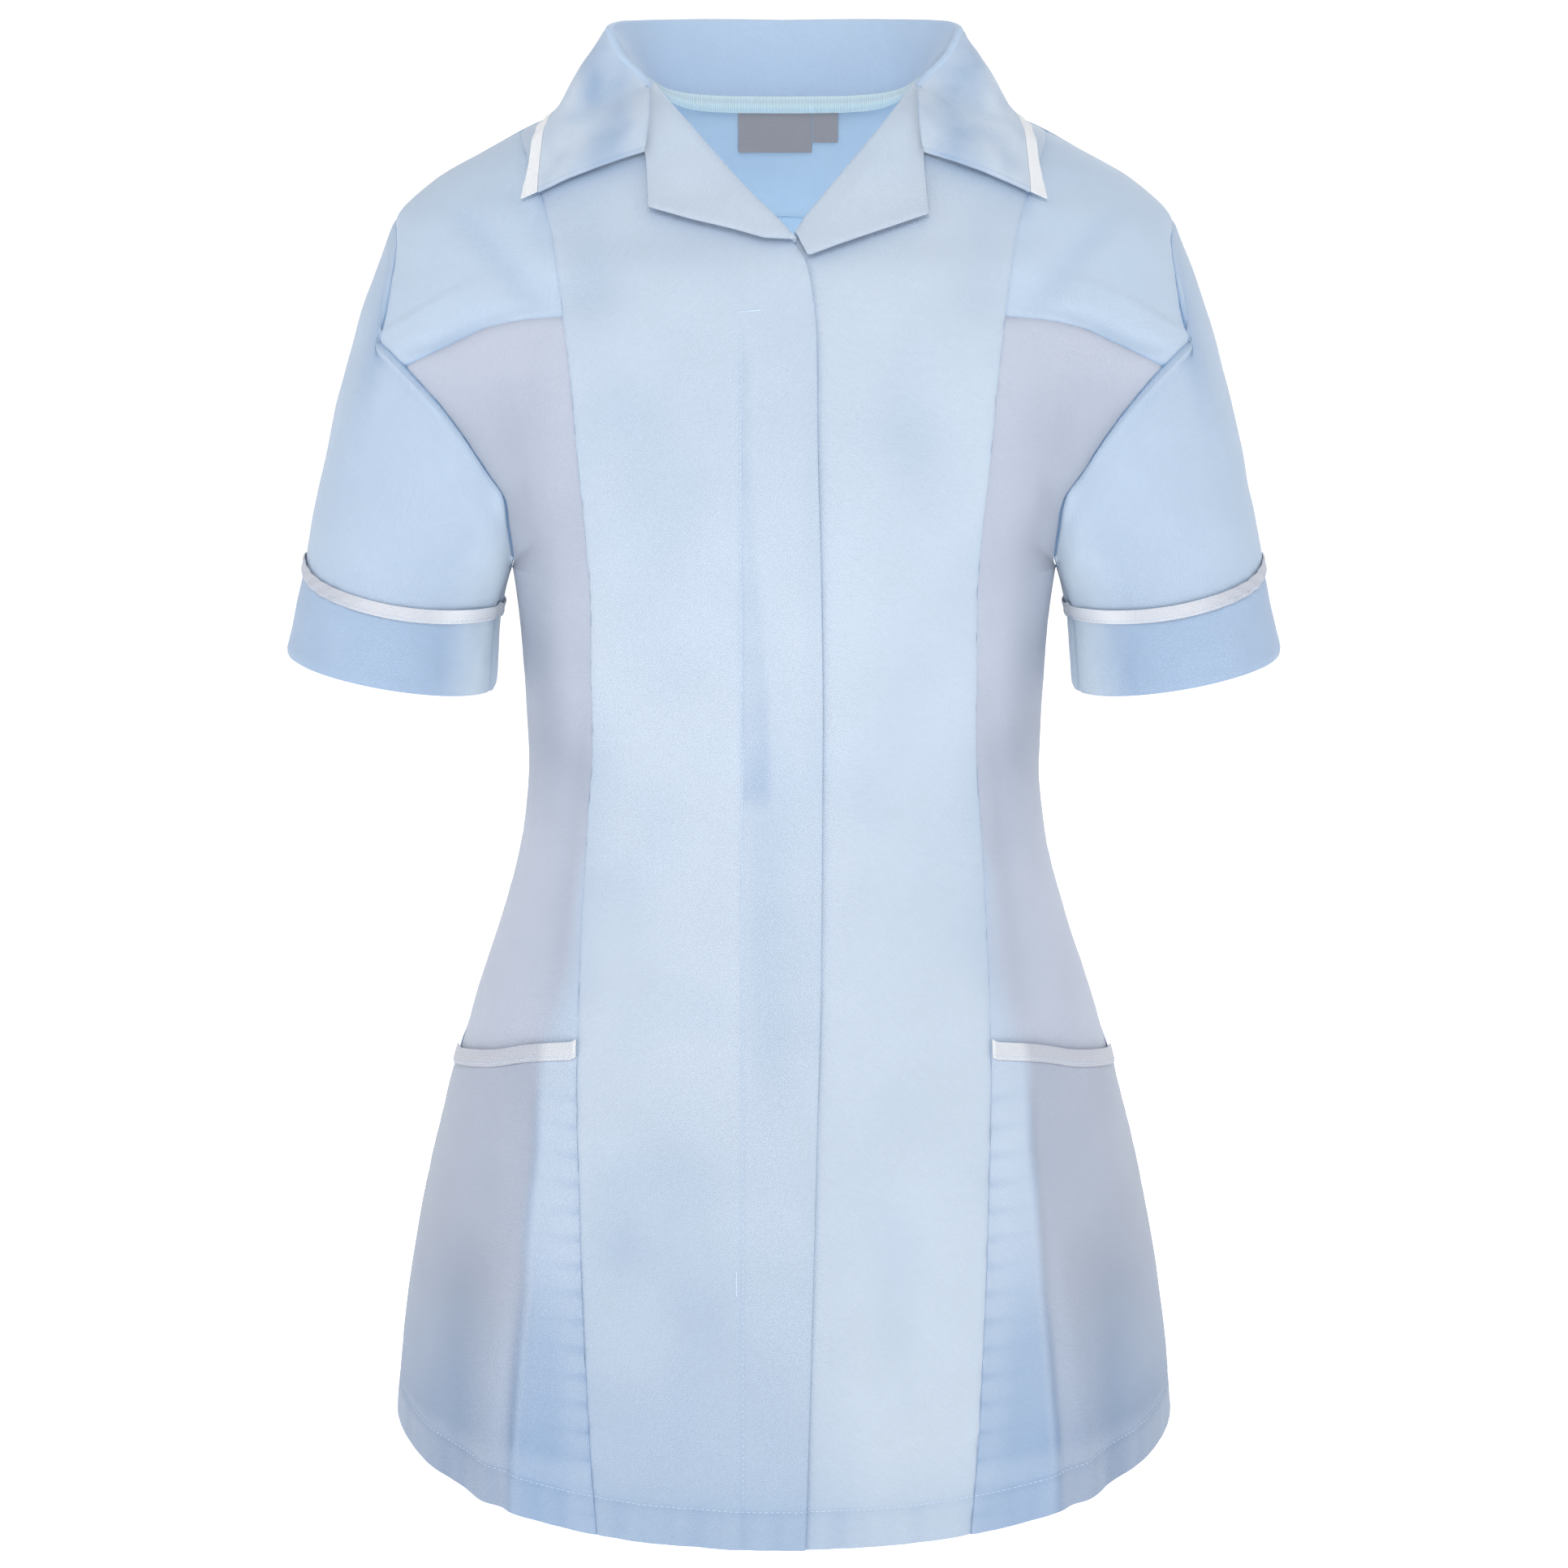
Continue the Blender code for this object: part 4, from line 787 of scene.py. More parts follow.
# The back. A yoke goes over both shoulders, and under it a centre back and two side backs are shaped
# by their seams. The yoke's seam allowance, neatened with overlock stitches, shows inside the neck.
BACK_ARMHOLE = table("drop x", [
    (64, 191.5), (80, 184), (97, 178), (125, 168), (150, 160), (175, 149), (200, 140), (220, 135),
    (237, 136.5),
])
YOKE_SEAM = table("x drop", [(0, 69), (50, 72), (105, 80), (150, 89), (178, 97)])
BACK_NECK = table("place x drop", [
    (0, 0, 12.3), (1, 26, 12), (2, 46, 10.5), (3, 59, 6.4), (4, 66, 0),
])
BACK_PRINCESS = table("drop x", [
    (80, 105), (130, 98), (200, 84), (280, 73), (340, 70), (420, 77), (520, 88), (620, 95), (703, 98),
])
BACK_UPPER_ARMHOLE_ROWS = [64, 75, 86, 97]
BACK_LOWER_ARMHOLE_ROWS = [97, 120, 144, 168, 192, 216, 237]
BACK_PRINCESS_ROWS = [80, 106, 132, 158, 184, 210, 237]
# Below this drop the side backs rise at the side seams, where the pockets are sewn in with them.
POCKET_SEAM_DROP = 484
POCKET_SEAM_RISE = 1.3
YOKE_TIMES = 6
NECK_COLUMNS = 8
HIGH_SHOULDER_PLACE = 4


def back_neck(places, side):
    """Angle and drop of the neck seam, from the back centre (0) to the high shoulder point (4)."""
    drop = read(BACK_NECK, places, "drop")
    return np.stack([angle_at(side * read(BACK_NECK, places), drop, -1), drop], -1)


def across_back(halves):
    """One line from the right side to the left, from two that run out from the middle."""
    right, left = halves
    return np.concatenate([right[::-1], left[1:]])


SEAM_POINTS = 37
yoke_tops, yoke_bottoms, yoke_sides, back_sides = [], [], [], []
for name, side in SIDES:
    shoulder = refined(SHOULDER_INNER + SHOULDER_OUTER[1:], YOKE_TIMES)
    neck = back_neck(np.linspace(0, HIGH_SHOULDER_PLACE, NECK_COLUMNS * YOKE_TIMES + 1), side)
    yoke_tops.append(np.concatenate([neck, side_line(side, shoulder[1:], -1)]))
    yoke_xs = np.linspace(0, YOKE_SEAM["x"][-1], len(yoke_tops[-1]))
    yoke_bottoms.append(cross_seam(YOKE_SEAM, yoke_xs, side, -1))
    yoke_sides.append(armhole_edge(BACK_ARMHOLE, BACK_UPPER_ARMHOLE_ROWS, side, -1))
    inner = to_hem(seam(BACK_PRINCESS, refined(BACK_PRINCESS_ROWS + LOWER_ROWS[1:], ROW_TIMES), side, -1))
    back_sides.append(inner)
    top = cross_seam(YOKE_SEAM, np.linspace(BACK_PRINCESS["x"][0], YOKE_SEAM["x"][-1], SEAM_POINTS), side, -1)
    side_back = hung_from(top, inner, outer_edge(BACK_ARMHOLE, BACK_LOWER_ARMHOLE_ROWS, side, -1))
    near_pocket = bell(from_edges(plain_grid(side_back))["last"], 0, 7)
    near_pocket = near_pocket * ease(side_back[..., 1], POCKET_SEAM_DROP - 8, POCKET_SEAM_DROP + 8)
    torso_panel(f"back_side_{name}_cloth", "side_cloth", side_back, SIDE_CLOTH,
                {"top": PLAIN_SEAM, "first": FRONT_SEAM, "last": SIDE_SEAM}, (0.19, 0.68), 0.072, 7.4 + side,
                POCKET_SEAM_RISE * near_pocket, grey=grey_and_painted_shade(side_back))
yoke_grid = crowded(patch(across_back(yoke_tops), across_back(yoke_bottoms), *yoke_sides))
torso_panel("back_yoke_cloth", "side_cloth", yoke_grid, SIDE_CLOTH,
            {"top": (0.3, 0.1, 0.3), "bottom": (0.6, 0.2, 0.1), "first": ARMHOLE_SEAM, "last": ARMHOLE_SEAM},
            (0.44, 0.17), 0.037, 9.3)
centre_top = [cross_seam(YOKE_SEAM, np.linspace(0, BACK_PRINCESS["x"][0], SEAM_POINTS), side, -1)
              for _, side in SIDES]
centre_grid = hung_from(across_back(centre_top), *back_sides)
# The centre back is a little darker just under the yoke.
torso_panel("back_centre_cloth", "side_cloth", centre_grid, SIDE_CLOTH,
            {"top": PLAIN_SEAM, "first": FRONT_SEAM, "last": FRONT_SEAM}, (0.22, 0.65), 0.113, 11.7,
            shade=0.1 * (1 - ease(centre_grid[..., 1], 100, 140)))


# Pockets. Each is one piece of the side cloth over its side front, sewn in at the princess seam, the
# side seam and the hem. Its mouth is bound with white woven braid, sewn down along its lower edge.
POCKET_MOUTH = table("share drop", [
    (0, 461), (0.27, 467.9), (0.45, 474.8), (0.7, 482.3), (0.85, 486.8), (1, 490.8),
])
POCKET_STAND = 1.3
SEWN_STAND = 0.45
POCKET_FULLNESS = 0.6
PUCKER_PITCH = 13.5
BRAID_WIDTH = 8.0
BRAID_CLOTH = 0.7
BRAID_LIFT = 0.5
BRAID_LINES = 7


RIB_PITCH = 0.0011
CROSS_PITCH = 0.0009
PAINTED_SHADE_BRAID = (0.45, 0.47, 0.55)


def braid(name, colour):
    """Narrow flat woven braid: fine ribs along its length, crossed by soft even threads. Painted shade:
    it greys where its painted "shade" rises."""
    finish = Finish(name, 0.7, 0.3)
    uv, rib, thread = finish.threads((1, 0.6, RIB_PITCH), (0, 1, CROSS_PITCH))
    fuzz = finish.noise(uv, 1100)
    share = 0.55 + rib * 0.16 + thread * 0.12 + (fuzz - 0.5) * 0.4
    body = finish.varied(share, colour, 0.07, 0.04)
    return finish.finished(finish.blend(finish.tone("shade"), body, tinted(colour, PAINTED_SHADE_BRAID)),
                           0.68 + (fuzz - 0.5) * 0.1, rib * 0.4 + thread * 0.4 + fuzz * 0.6, 0.00012)


WHITE_BRAID = braid("white_woven_braid", screen_colour(243, 246, 251))


def pocket_grid(below, parts, depth=None):
    """A grid on the columns of a side front, from the pocket's mouth down to this depth or to the hem."""
    columns = []
    for column, mouth in zip(below.swapaxes(0, 1), read(POCKET_MOUTH, np.linspace(0, 1, below.shape[1]))):
        drops = mouth + (depth or column[-1, 1] - mouth) * parts
        columns.append(np.stack([np.interp(drops, column[:, 1], column[:, 0]), drops], -1))
    return np.stack(columns, 1)


def pocket_shade(grid):
    """Painted shade on a pocket: deepest in the fold down it, low down inside it, and in the puckers
    that the seam draws, and deeper outside the fold."""
    plain, drops = plain_grid(grid), grid[..., 1]
    past_fold = np.abs(plain[..., 0]) - read(GREY_EDGE, drops)
    from_seam = from_edges(plain)["first"]
    crease = (0.26 + 0.26 * ease(drops, 560, 640)) * bell(past_fold, 1.5, 2.6) * ease(drops, 474, 505)
    inside = ease(-past_fold, -1, 5) * (0.1 * ease(drops, 515, 545) + 0.38 * ease(drops, 540, 620))
    inside = inside * (0.65 + 0.35 * ease(from_seam, 5, 20))
    outside = 0.28 * ease(past_fold, -4, 6) + 0.2 * ease(past_fold, 4, 22) * ease(drops, 520, 620)
    pucker = np.maximum(np.sin(drops * 2 * math.pi / PUCKER_PITCH), 0) ** 2
    puckers = 0.26 * pucker * np.exp(-from_seam / 9) * ease(drops, 474, 490)
    return (crease + inside + outside + puckers) * (1 - 0.5 * ease(drops, 660, 674))


POCKET_PARTS = np.linspace(0, 1, 106)
POCKET_TIMES = 3
BRAID_PARTS = np.linspace(-0.075, 1, BRAID_LINES)
pocket_columns = {}
for name, side in SIDES:
    under = side_front_grids[side]
    places = refined(np.arange(under.shape[1]), POCKET_TIMES)
    left_of = np.minimum(places.astype(int), under.shape[1] - 2)
    part = (places - left_of)[:, None]
    below = under[:, left_of] * (1 - part) + under[:, left_of + 1] * part
    pocket_columns[side] = below
    shares = np.linspace(0, 1, below.shape[1])[None]
    stand = SEWN_STAND + (POCKET_STAND - SEWN_STAND) * ease(shares, 0, 0.16)
    stand = stand + POCKET_FULLNESS * np.sin(np.pi * shares)
    grid = pocket_grid(below, POCKET_PARTS)
    torso_panel(f"pocket_{name}_cloth", "side_cloth", grid, SIDE_CLOTH,
                {"top": (0.4, 0.15, 0.05), "first": (0.5, 0.5, 0.1), "last": SIDE_SEAM},
                (0.17, 0.25), 0.036, 13.5 + side, stand, shade=pocket_shade(grid),
                grey=grey_and_painted_shade(grid, 0.45) * (1 - 0.4 * ease(grid[..., 1], 560, 660)))
    grid = pocket_grid(below, BRAID_PARTS, BRAID_WIDTH)
    plain = plain_grid(grid)
    normals = outward(plain)
    lift = stand + BRAID_CLOTH + BRAID_LIFT - 0.5 * np.abs(BRAID_PARTS[:, None] - 0.45) ** 2
    points = on_form(grid[..., 0], grid[..., 1], lift)
    points = points + normals * (0.25 * unevenness(plain, 9, 4.4))[..., None]
    # Painted shade: the braid is painted greyer along its outer part, towards the side seam.
    lay_cloth(f"pocket_braid_{name}_weave", "white_braid", points, normals, BRAID_CLOTH, WHITE_BRAID,
              (0.14, 0.0105), "stretched", 0.0012,
              shade=0.08 + 0.30 * ease(shares, 0.02, 0.06) + 0.34 * ease(shares, 0.17, 0.23))


# Sleeves and cuffs. A short set-in sleeve hangs from each armhole with a small roll of cloth beside
# the seam at the front. Its double cuff is sewn on under a band of the same white braid.
# Their greyed colours are paler: painted light, for the side of the sleeve and cuff low down near the body.
SLEEVE_CLOTH = twill("sleeve_twill", screen_colour(180, 199, 222), greyed=screen_colour(219, 236, 253))
CUFF_CLOTH = twill("cuff_twill", screen_colour(166, 189, 218), greyed=screen_colour(224, 240, 255))
SLEEVE_TILT = math.radians(10.4)
SLEEVE_DEPTH = 53.0
SLEEVE_CENTRE_Y = -2.0
SLEEVE_END = {"x": 192.2, "drop": 249.5, "half_width": 50.2}
CUFF_END = {"x": 199.0, "drop": 290.4, "half_width": 53.6}
SLEEVE_ROWS = 52
CUFF_ROWS = 18
CUFF_WALL = 1.3
SLEEVE_COLUMNS = 150
SEAM_TURN = 166
CAP_TURN_OUT, UNDERARM_TURN_OUT = 0.36, 0.10
BEZIER_REACH = 0.27
ARMHOLE_CLEARANCE = 0.25
CORNER_COLUMNS = 5
SLEEVE_BRAID_WIDTH = 7.0
CUFF_SEAM_SAG = 2.5
CUFF_SEAM_RISE, CUFF_SEAM_RISE_TURN = 5.5, 27
SEAM_GROOVE_TURN, SEAM_LINE_TURN = 2.2, 1.6
SLEEVE_PALE_TURN, CUFF_PALE_TURN = 112, 116
CAP_SHADE_DROP = 7
CUFF_GAP = 0.2


def sleeve_ring(end, side, turns):
    """Points of a level round a sleeve. A turn of 0 is outside, and 90 is at the front."""
    centre = np.array([side * end["x"], SLEEVE_CENTRE_Y, -end["drop"]])
    out_of_body = np.array([side * math.cos(SLEEVE_TILT), 0, math.sin(SLEEVE_TILT)])
    turns = np.radians(turns)[:, None]
    depth = SLEEVE_DEPTH * end["half_width"] / CUFF_END["half_width"]
    forward = np.array([0, -1.0, 0])
    return centre + end["half_width"] * np.cos(turns) * out_of_body + depth * np.sin(turns) * forward


def sleeve_axis(side):
    """The way down a sleeve."""
    return np.array([side * math.sin(SLEEVE_TILT), 0, -math.cos(SLEEVE_TILT)])


def braid_ring(side, turns):
    """The seam of the cuff. It hangs lowest at the front, and is drawn up at the outside."""
    front = np.maximum(np.sin(np.radians(turns)), 0) ** 3
    outside = bell(np.abs((turns + 180) % 360 - 180), 0, CUFF_SEAM_RISE_TURN)
    drop = CUFF_SEAM_SAG * front - CUFF_SEAM_RISE * outside
    return sleeve_ring(SLEEVE_END, side, turns) + sleeve_axis(side) * drop[:, None]


def rounded_off(ring):
    """The same closed ring with its corners rounded off."""
    steps = np.arange(-3 * CORNER_COLUMNS, 3 * CORNER_COLUMNS + 1)
    weights = np.exp(-(steps / CORNER_COLUMNS) ** 2)
    soft = sum(weight * np.roll(ring[:-1], step, 0) for weight, step in zip(weights / weights.sum(), steps))
    return np.concatenate([soft, soft[:1]])


def armhole_loop(side):
    """Points round an armhole from the shoulder tip over the front and back to it, at even turns."""
    front = armhole_edge(FRONT_ARMHOLE, UPPER_ARMHOLE_ROWS + MIDDLE_ARMHOLE_ROWS[1:], side, 1, 150)
    back = armhole_edge(BACK_ARMHOLE, BACK_UPPER_ARMHOLE_ROWS + BACK_LOWER_ARMHOLE_ROWS[1:], side, -1, 150)
    turns = np.concatenate([180 * lengths(front), 360 - 180 * lengths(back)[-2::-1]])
    loop = on_form(*np.concatenate([front, back[-2::-1]]).T)
    wanted = np.linspace(0, 360, SLEEVE_COLUMNS + 1)
    return np.stack([np.interp(wanted, turns, loop[:, part]) for part in range(3)], -1), wanted


def tube_normals(points):
    """The way out of a tube at each of its points, from its grid."""
    down = np.gradient(points, axis=0)
    wrapped = np.concatenate([points[:, -2:-1], points, points[:, 1:2]], 1)
    across = (wrapped[:, 2:] - wrapped[:, :-2]) / 2
    normals = unit(np.cross(across, down))
    away = points - points.mean(1, keepdims=True)
    return normals * np.sign((normals * away).sum(-1).mean())


def painted_paleness(turns, points, start):
    """Painted light: the cloth is painted palest low down on the side near the body, past a turn of
    start, where the body would shade it.
    """
    return within(turns, start, start + 38, 210, 250) * ease(-points[..., 2], 150, 225)


def closed(points, shade):
    """A tube's points and shade, with its last column the same as its first."""
    points[:, -1], shade[:, -1] = points[:, 0], shade[:, 0]
    return points, shade


for name, side in SIDES:
    armhole, turns = armhole_loop(side)
    start = armhole + np.array([side * ARMHOLE_CLEARANCE, 0, 0])
    end = braid_ring(side, turns)
    axis = sleeve_axis(side)
    top_share = (1 + np.cos(np.radians(turns)))[:, None] / 2
    turn_out = UNDERARM_TURN_OUT + (CAP_TURN_OUT - UNDERARM_TURN_OUT) * top_share
    leaving = unit(axis + np.array([side, 0, 0]) * turn_out)
    reach = BEZIER_REACH * np.linalg.norm(end - start, axis=1, keepdims=True)
    rounded = rounded_off(start)
    second, third = rounded + leaving * reach, end - axis * reach
    part = np.concatenate([[0, 0.0025, 0.006], np.linspace(0, 1, SLEEVE_ROWS + 1)[1:] ** 1.15])[:, None, None]
    first = start + (rounded - start) * ease(part, 0, 0.14)
    points = ((1 - part) ** 3 * first + 3 * (1 - part) ** 2 * part * second
              + 3 * (1 - part) * part ** 2 * third + part ** 3 * end)
    normals = tube_normals(points)
    down = distances(points, 0)
    front_cap = within(turns, 14, 40, 78, 104)
    roll = 1.5 * bell(down, 2.8, 1.9) - 0.9 * bell(down, 6.6, 1.8)
    seam_groove, seam_line = bell(turns, SEAM_TURN, SEAM_GROOVE_TURN), bell(turns, SEAM_TURN, SEAM_LINE_TURN)
    under_seam = seam_groove - 0.9 * bell(turns, SEAM_TURN - 9, 7)
    soft = 0.9 * unevenness(points, 34, 17 + side) + 0.35 * unevenness(points, 15, 19 + side)
    move = roll * front_cap - under_seam * ease(down, 4, 22) + soft * ease(down, 3, 20)
    points, shade = sewn(points + normals * move[..., None], normals,
                         {"top": (0.6, 0.3, 0.1), "bottom": (0.4, 0.2, 0.05)}, 23 + side)
    # Painted shade on the upper front of the cap: a soft dark line and a shaded band beside the roll of
    # cloth, and dark lines along the armhole seam and the underarm seam.
    past_roll = np.maximum(down - CAP_SHADE_DROP, 0)
    roll_shade = 0.26 * bell(down, 5.8, 0.9) + 0.28 * ease(down, 4, CAP_SHADE_DROP) * np.exp(-past_roll / 30)
    shade = shade + front_cap * (1 - ease(turns, 52, 66)) * roll_shade
    points, shade = closed(points, shade + 0.3 * bell(down, 0, 0.8) * front_cap + 0.2 * seam_line)
    lay_cloth(f"sleeve_{name}_cloth", "sleeve_cloth", points, normals, CLOTH, SLEEVE_CLOTH,
              (0.37, 0.20), "hung", 0.040, tube=True, shade=shade,
              grey=painted_paleness(turns, points, SLEEVE_PALE_TURN))

    part = np.linspace(0, 1, CUFF_ROWS + 1)[:, None, None]
    top = end + axis * CUFF_GAP
    cuff_points = top + (sleeve_ring(CUFF_END, side, turns) - top) * part
    normals = tube_normals(cuff_points)
    soft = 0.6 * unevenness(cuff_points, 22, 29 + side) + 0.25 * unevenness(cuff_points, 9, 31 + side)
    cuff_points = cuff_points + normals * (soft - 0.9 * seam_groove)[..., None]
    cuff_points, shade = sewn(cuff_points, normals, {"top": (0.5, 0.3, 0.3), "bottom": (0.9, 0.12, 0.1)},
                              37 + side)
    # Painted shade: a dark line along the underarm seam of the cuff.
    cuff_points, shade = closed(cuff_points, shade + 0.2 * seam_line)
    lay_cloth(f"cuff_{name}_cloth", "sleeve_cloth", cuff_points, normals, CUFF_WALL, CUFF_CLOTH,
              (0.36, 0.045), "hung", tube=True, shade=shade,
              grey=painted_paleness(turns, cuff_points, CUFF_PALE_TURN))

    up_sleeve = unit(points[-4] - points[-1])
    rows = []
    for part in np.linspace(-1, 1, BRAID_LINES):
        ring = end + (axis * part if part > 0 else up_sleeve * -part) * SLEEVE_BRAID_WIDTH / 2
        widening = 0.35 * max(part, 0)
        crinkle = 0.45 * np.sin(turns * 0.55 + 3 * part) * bell(turns, 38, 22)
        step = 1.1 * bell(turns, SEAM_TURN, 3.0)
        out = BRAID_CLOTH + 1.0 + widening - 0.35 * part ** 2 + crinkle - step * 0.6
        rows.append(ring + unit(ring - ring.mean(0)) * out[:, None] - axis * (step * 1.2)[:, None])
    # Painted shade: the braid is painted greyer all round, most on the outside at the front, and not on the
    # side near the body.
    braid_shade = 0.45 + 0.28 * (1 - ease(turns, 50, 85)) * (1 - ease(turns, 180, 300))
    braid_shade = braid_shade * (1 - within(turns, 108, 130, 190, 230))
    band_points, braid_shade = closed(np.array(rows), braid_shade[None])
    lay_cloth(f"sleeve_braid_{name}_weave", "white_braid", band_points, tube_normals(band_points),
              BRAID_CLOTH, WHITE_BRAID, (0.345, 0.010), "stretched", 0.0027, tube=True, shade=braid_shade)


# The collar, one turned-down piece of doubled cloth. It stands up from the neck seam, folds over and
# falls on the shoulders, and in front the gorge seam joins it to the lapels. White braid is caught
# between its two layers along the outer edge.
# Its greyed colour is a bluer one, painted on the stand inside the neck as the light that comes through the
# cloth there.
COLLAR_CLOTH = twill("collar_twill", screen_colour(201, 215, 232), 0.06, greyed=screen_colour(193, 215, 241))
COLLAR = table("fold_x fold_y fold_z edge_x edge_y edge_z", [
    (0, 67, 30.5, 0, 75, -26),
    (32, 64.5, 30.8, 38, 73, -25),
    (60, 52, 31, 74, 61, -21),
    (79, 27, 31, 101, 32, -15),
    (85.5, 3, 29, 110.5, -5, -12),
    (80, -10, 18, 115.5, -28, -23),
    (63.2, -21, -1, 117.5, -43, -34),
    (63.3, -46, -14, 118, -51, -41),
    (65, -58, -29, 118, -57.2, -46.2),
])
GORGE = table("drop x", [(1.9, 63.2), (14, 63.3), (29.5, 65)])
GORGE_PLACE = 6
LAST_PLACE = 8
COLLAR_STEPS = 10
STAND_ROWS, CREST_ROWS, FALL_ROWS = 7, 9, 26
FALL_START = STAND_ROWS + CREST_ROWS
FOLD_HALF_SPAN = 2.1
FOLD_CREST = 1.9
FALL_BULGE = 2.6
COLLAR_RELIEF = 3.6
COLLAR_WALL = 1.4
NECK_CLEARANCE = 0.5
SMOOTHING_ROUNDS = 24


def cleared(point, least):
    """The same points, moved out of the form where they are less than least from it."""
    point = np.array(point, float)
    for _ in range(6):
        half_width, front, back, power = section(-point[..., 2])
        depth = np.where(point[..., 1] <= 0, front, back)
        away = outward(point)
        reach = np.hypot(point[..., 0], point[..., 1])
        level = ((np.abs(point[..., 0]) / half_width) ** power
                 + (np.abs(point[..., 1]) / depth) ** power) ** (1 / power)
        sideways = np.hypot(away[..., 0], away[..., 1])
        distance = reach * (1 - 1 / np.maximum(level, 1e-6)) * sideways
        short = np.where(point[..., 2] < 0, np.maximum(least - distance, 0), 0)
        point = point + away * short[..., None]
    return point


def collar_station(place, side):
    """Start, fold and outer edge of the collar at a place between two rows of its table."""
    stations = np.arange(LAST_PLACE + 1.0)
    row = {name: float(smooth_curve(place, stations, values)) for name, values in COLLAR.items()}
    fold = np.array([side * row["fold_x"], row["fold_y"], row["fold_z"]])
    edge = np.array([side * row["edge_x"], row["edge_y"], row["edge_z"]])
    if place <= HIGH_SHOULDER_PLACE:
        start = on_form(*back_neck(place, side))
    elif place < GORGE_PLACE:
        share = (place - HIGH_SHOULDER_PLACE) / (GORGE_PLACE - HIGH_SHOULDER_PLACE)
        drop = share * GORGE["drop"][0]
        x = side * np.interp(share, (0, 1), (FORM["half_width"][0], GORGE["x"][0]))
        start = on_form(angle_at(x, drop, 1), drop)
    else:
        share = (place - GORGE_PLACE) / (LAST_PLACE - GORGE_PLACE)
        drop = GORGE["drop"][0] + (GORGE["drop"][-1] - GORGE["drop"][0]) * share
        start = on_form(angle_at(side * read(GORGE, drop), drop, 1), drop)
        fold = start + outward(start) * COLLAR_RELIEF
    return start, fold, edge


def collar_column(place, side):
    """Points of the outer face from the neck seam up over the fold and down to the outer edge."""
    start, fold, edge = collar_station(place, side)
    apart = unit((edge - start) * [1, 1, 0])
    if place < GORGE_PLACE:
        crest = np.array([0, 0, FOLD_CREST])
        foot = start + np.array([0, 0, NECK_CLEARANCE])
        stand_top, fall_top = (fold + apart * reach - crest for reach in (-FOLD_HALF_SPAN, FOLD_HALF_SPAN))
        part = np.linspace(0, 1, STAND_ROWS + 1)[:-1, None]
        stand = foot + (stand_top - foot) * part - apart * 4 * part * (1 - part)
        turn = np.linspace(0, math.pi, CREST_ROWS + 1)[:-1, None]
        over = fold - crest - apart * FOLD_HALF_SPAN * np.cos(turn) + crest * np.sin(turn)
        rise = np.concatenate([stand, over])
    else:
        fall_top = fold + (edge - fold) * 0.02
        rise = np.repeat(fold[None], FALL_START, 0)
    part = np.linspace(0, 1, FALL_ROWS + 1)[:, None]
    bulge = apart * FALL_BULGE * 4 * part * (1 - part)
    fall = cleared(fall_top + (edge - fall_top) * part + bulge, COLLAR_RELIEF)
    return np.concatenate([rise, fall])


def grid_normals(points):
    """The way out of a grid of cloth, to the side where its columns run leftwards round its rows."""
    return unit(np.cross(np.gradient(points, axis=1), np.gradient(points, axis=0)))


half_places = np.linspace(0, LAST_PLACE, COLLAR_STEPS * LAST_PLACE + 1)
collar_places = [(place, 1) for place in half_places[::-1]] + [(place, -1) for place in half_places[1:]]
collar_points = np.stack([collar_column(*place) for place in collar_places], 1)
fall = collar_points[FALL_START + 1:]
for _ in range(SMOOTHING_ROUNDS):
    around = fall[:-2, 1:-1] + fall[2:, 1:-1] + fall[1:-1, :-2] + fall[1:-1, 2:]
    fall[1:-1, 1:-1] += 0.5 * (around / 4 - fall[1:-1, 1:-1])
fall[1:] = cleared(fall[1:], COLLAR_RELIEF)
collar_normals = grid_normals(collar_points)
collar_normals *= np.sign((collar_normals[FALL_START:] * outward(collar_points[FALL_START:])).sum(-1).mean())
collar_away = from_edges(collar_points)
from_edge, from_ends = collar_away["bottom"], np.minimum(collar_away["first"], collar_away["last"])
on_fall = np.concatenate([np.zeros((FALL_START, 1)), np.ones((FALL_ROWS + 1, 1))])
soft = 0.5 * unevenness(collar_points, 21, 41) + 0.25 * unevenness(collar_points, 9, 43)
turned_edge = bell(from_edge, 0, 1.1) + bell(from_ends, 0, 1.1)
move = soft * (0.4 + 0.6 * on_fall) * ease(from_edge, 0, 3) - 0.35 * turned_edge * on_fall
# Painted shade on the fall: soft clouds at random places, a dark line just inside its front ends like the
# edge of the layer beneath, and shade a little below the fold over the shoulders.
cloudy = (np.maximum(unevenness(collar_points, 17, 45) + 0.1, 0)
          + 0.6 * np.maximum(unevenness(collar_points, 8, 49), 0))
from_fold = np.abs(collar_away["top"] - collar_away["top"][FALL_START])
shade_near_fold = bell(from_fold, 14, 20) * within(np.abs(collar_points[..., 0]), 66, 82, 92, 104)
collar_shade = on_fall * (0.3 * cloudy + 0.28 * bell(from_ends, 1.7, 0.7) + 0.42 * shade_near_fold)
# The stand is painted bluer with the greyed colour as painted light, and a little darker as painted shade.
lay_cloth("collar_cloth", "collar_cloth", collar_points + collar_normals * move[..., None], collar_normals,
          COLLAR_WALL, COLLAR_CLOTH, (0.49, 0.10), "folded", 0.036, tube=True,
          shade=collar_shade + 0.14 * (1 - on_fall), grey=1 - on_fall)

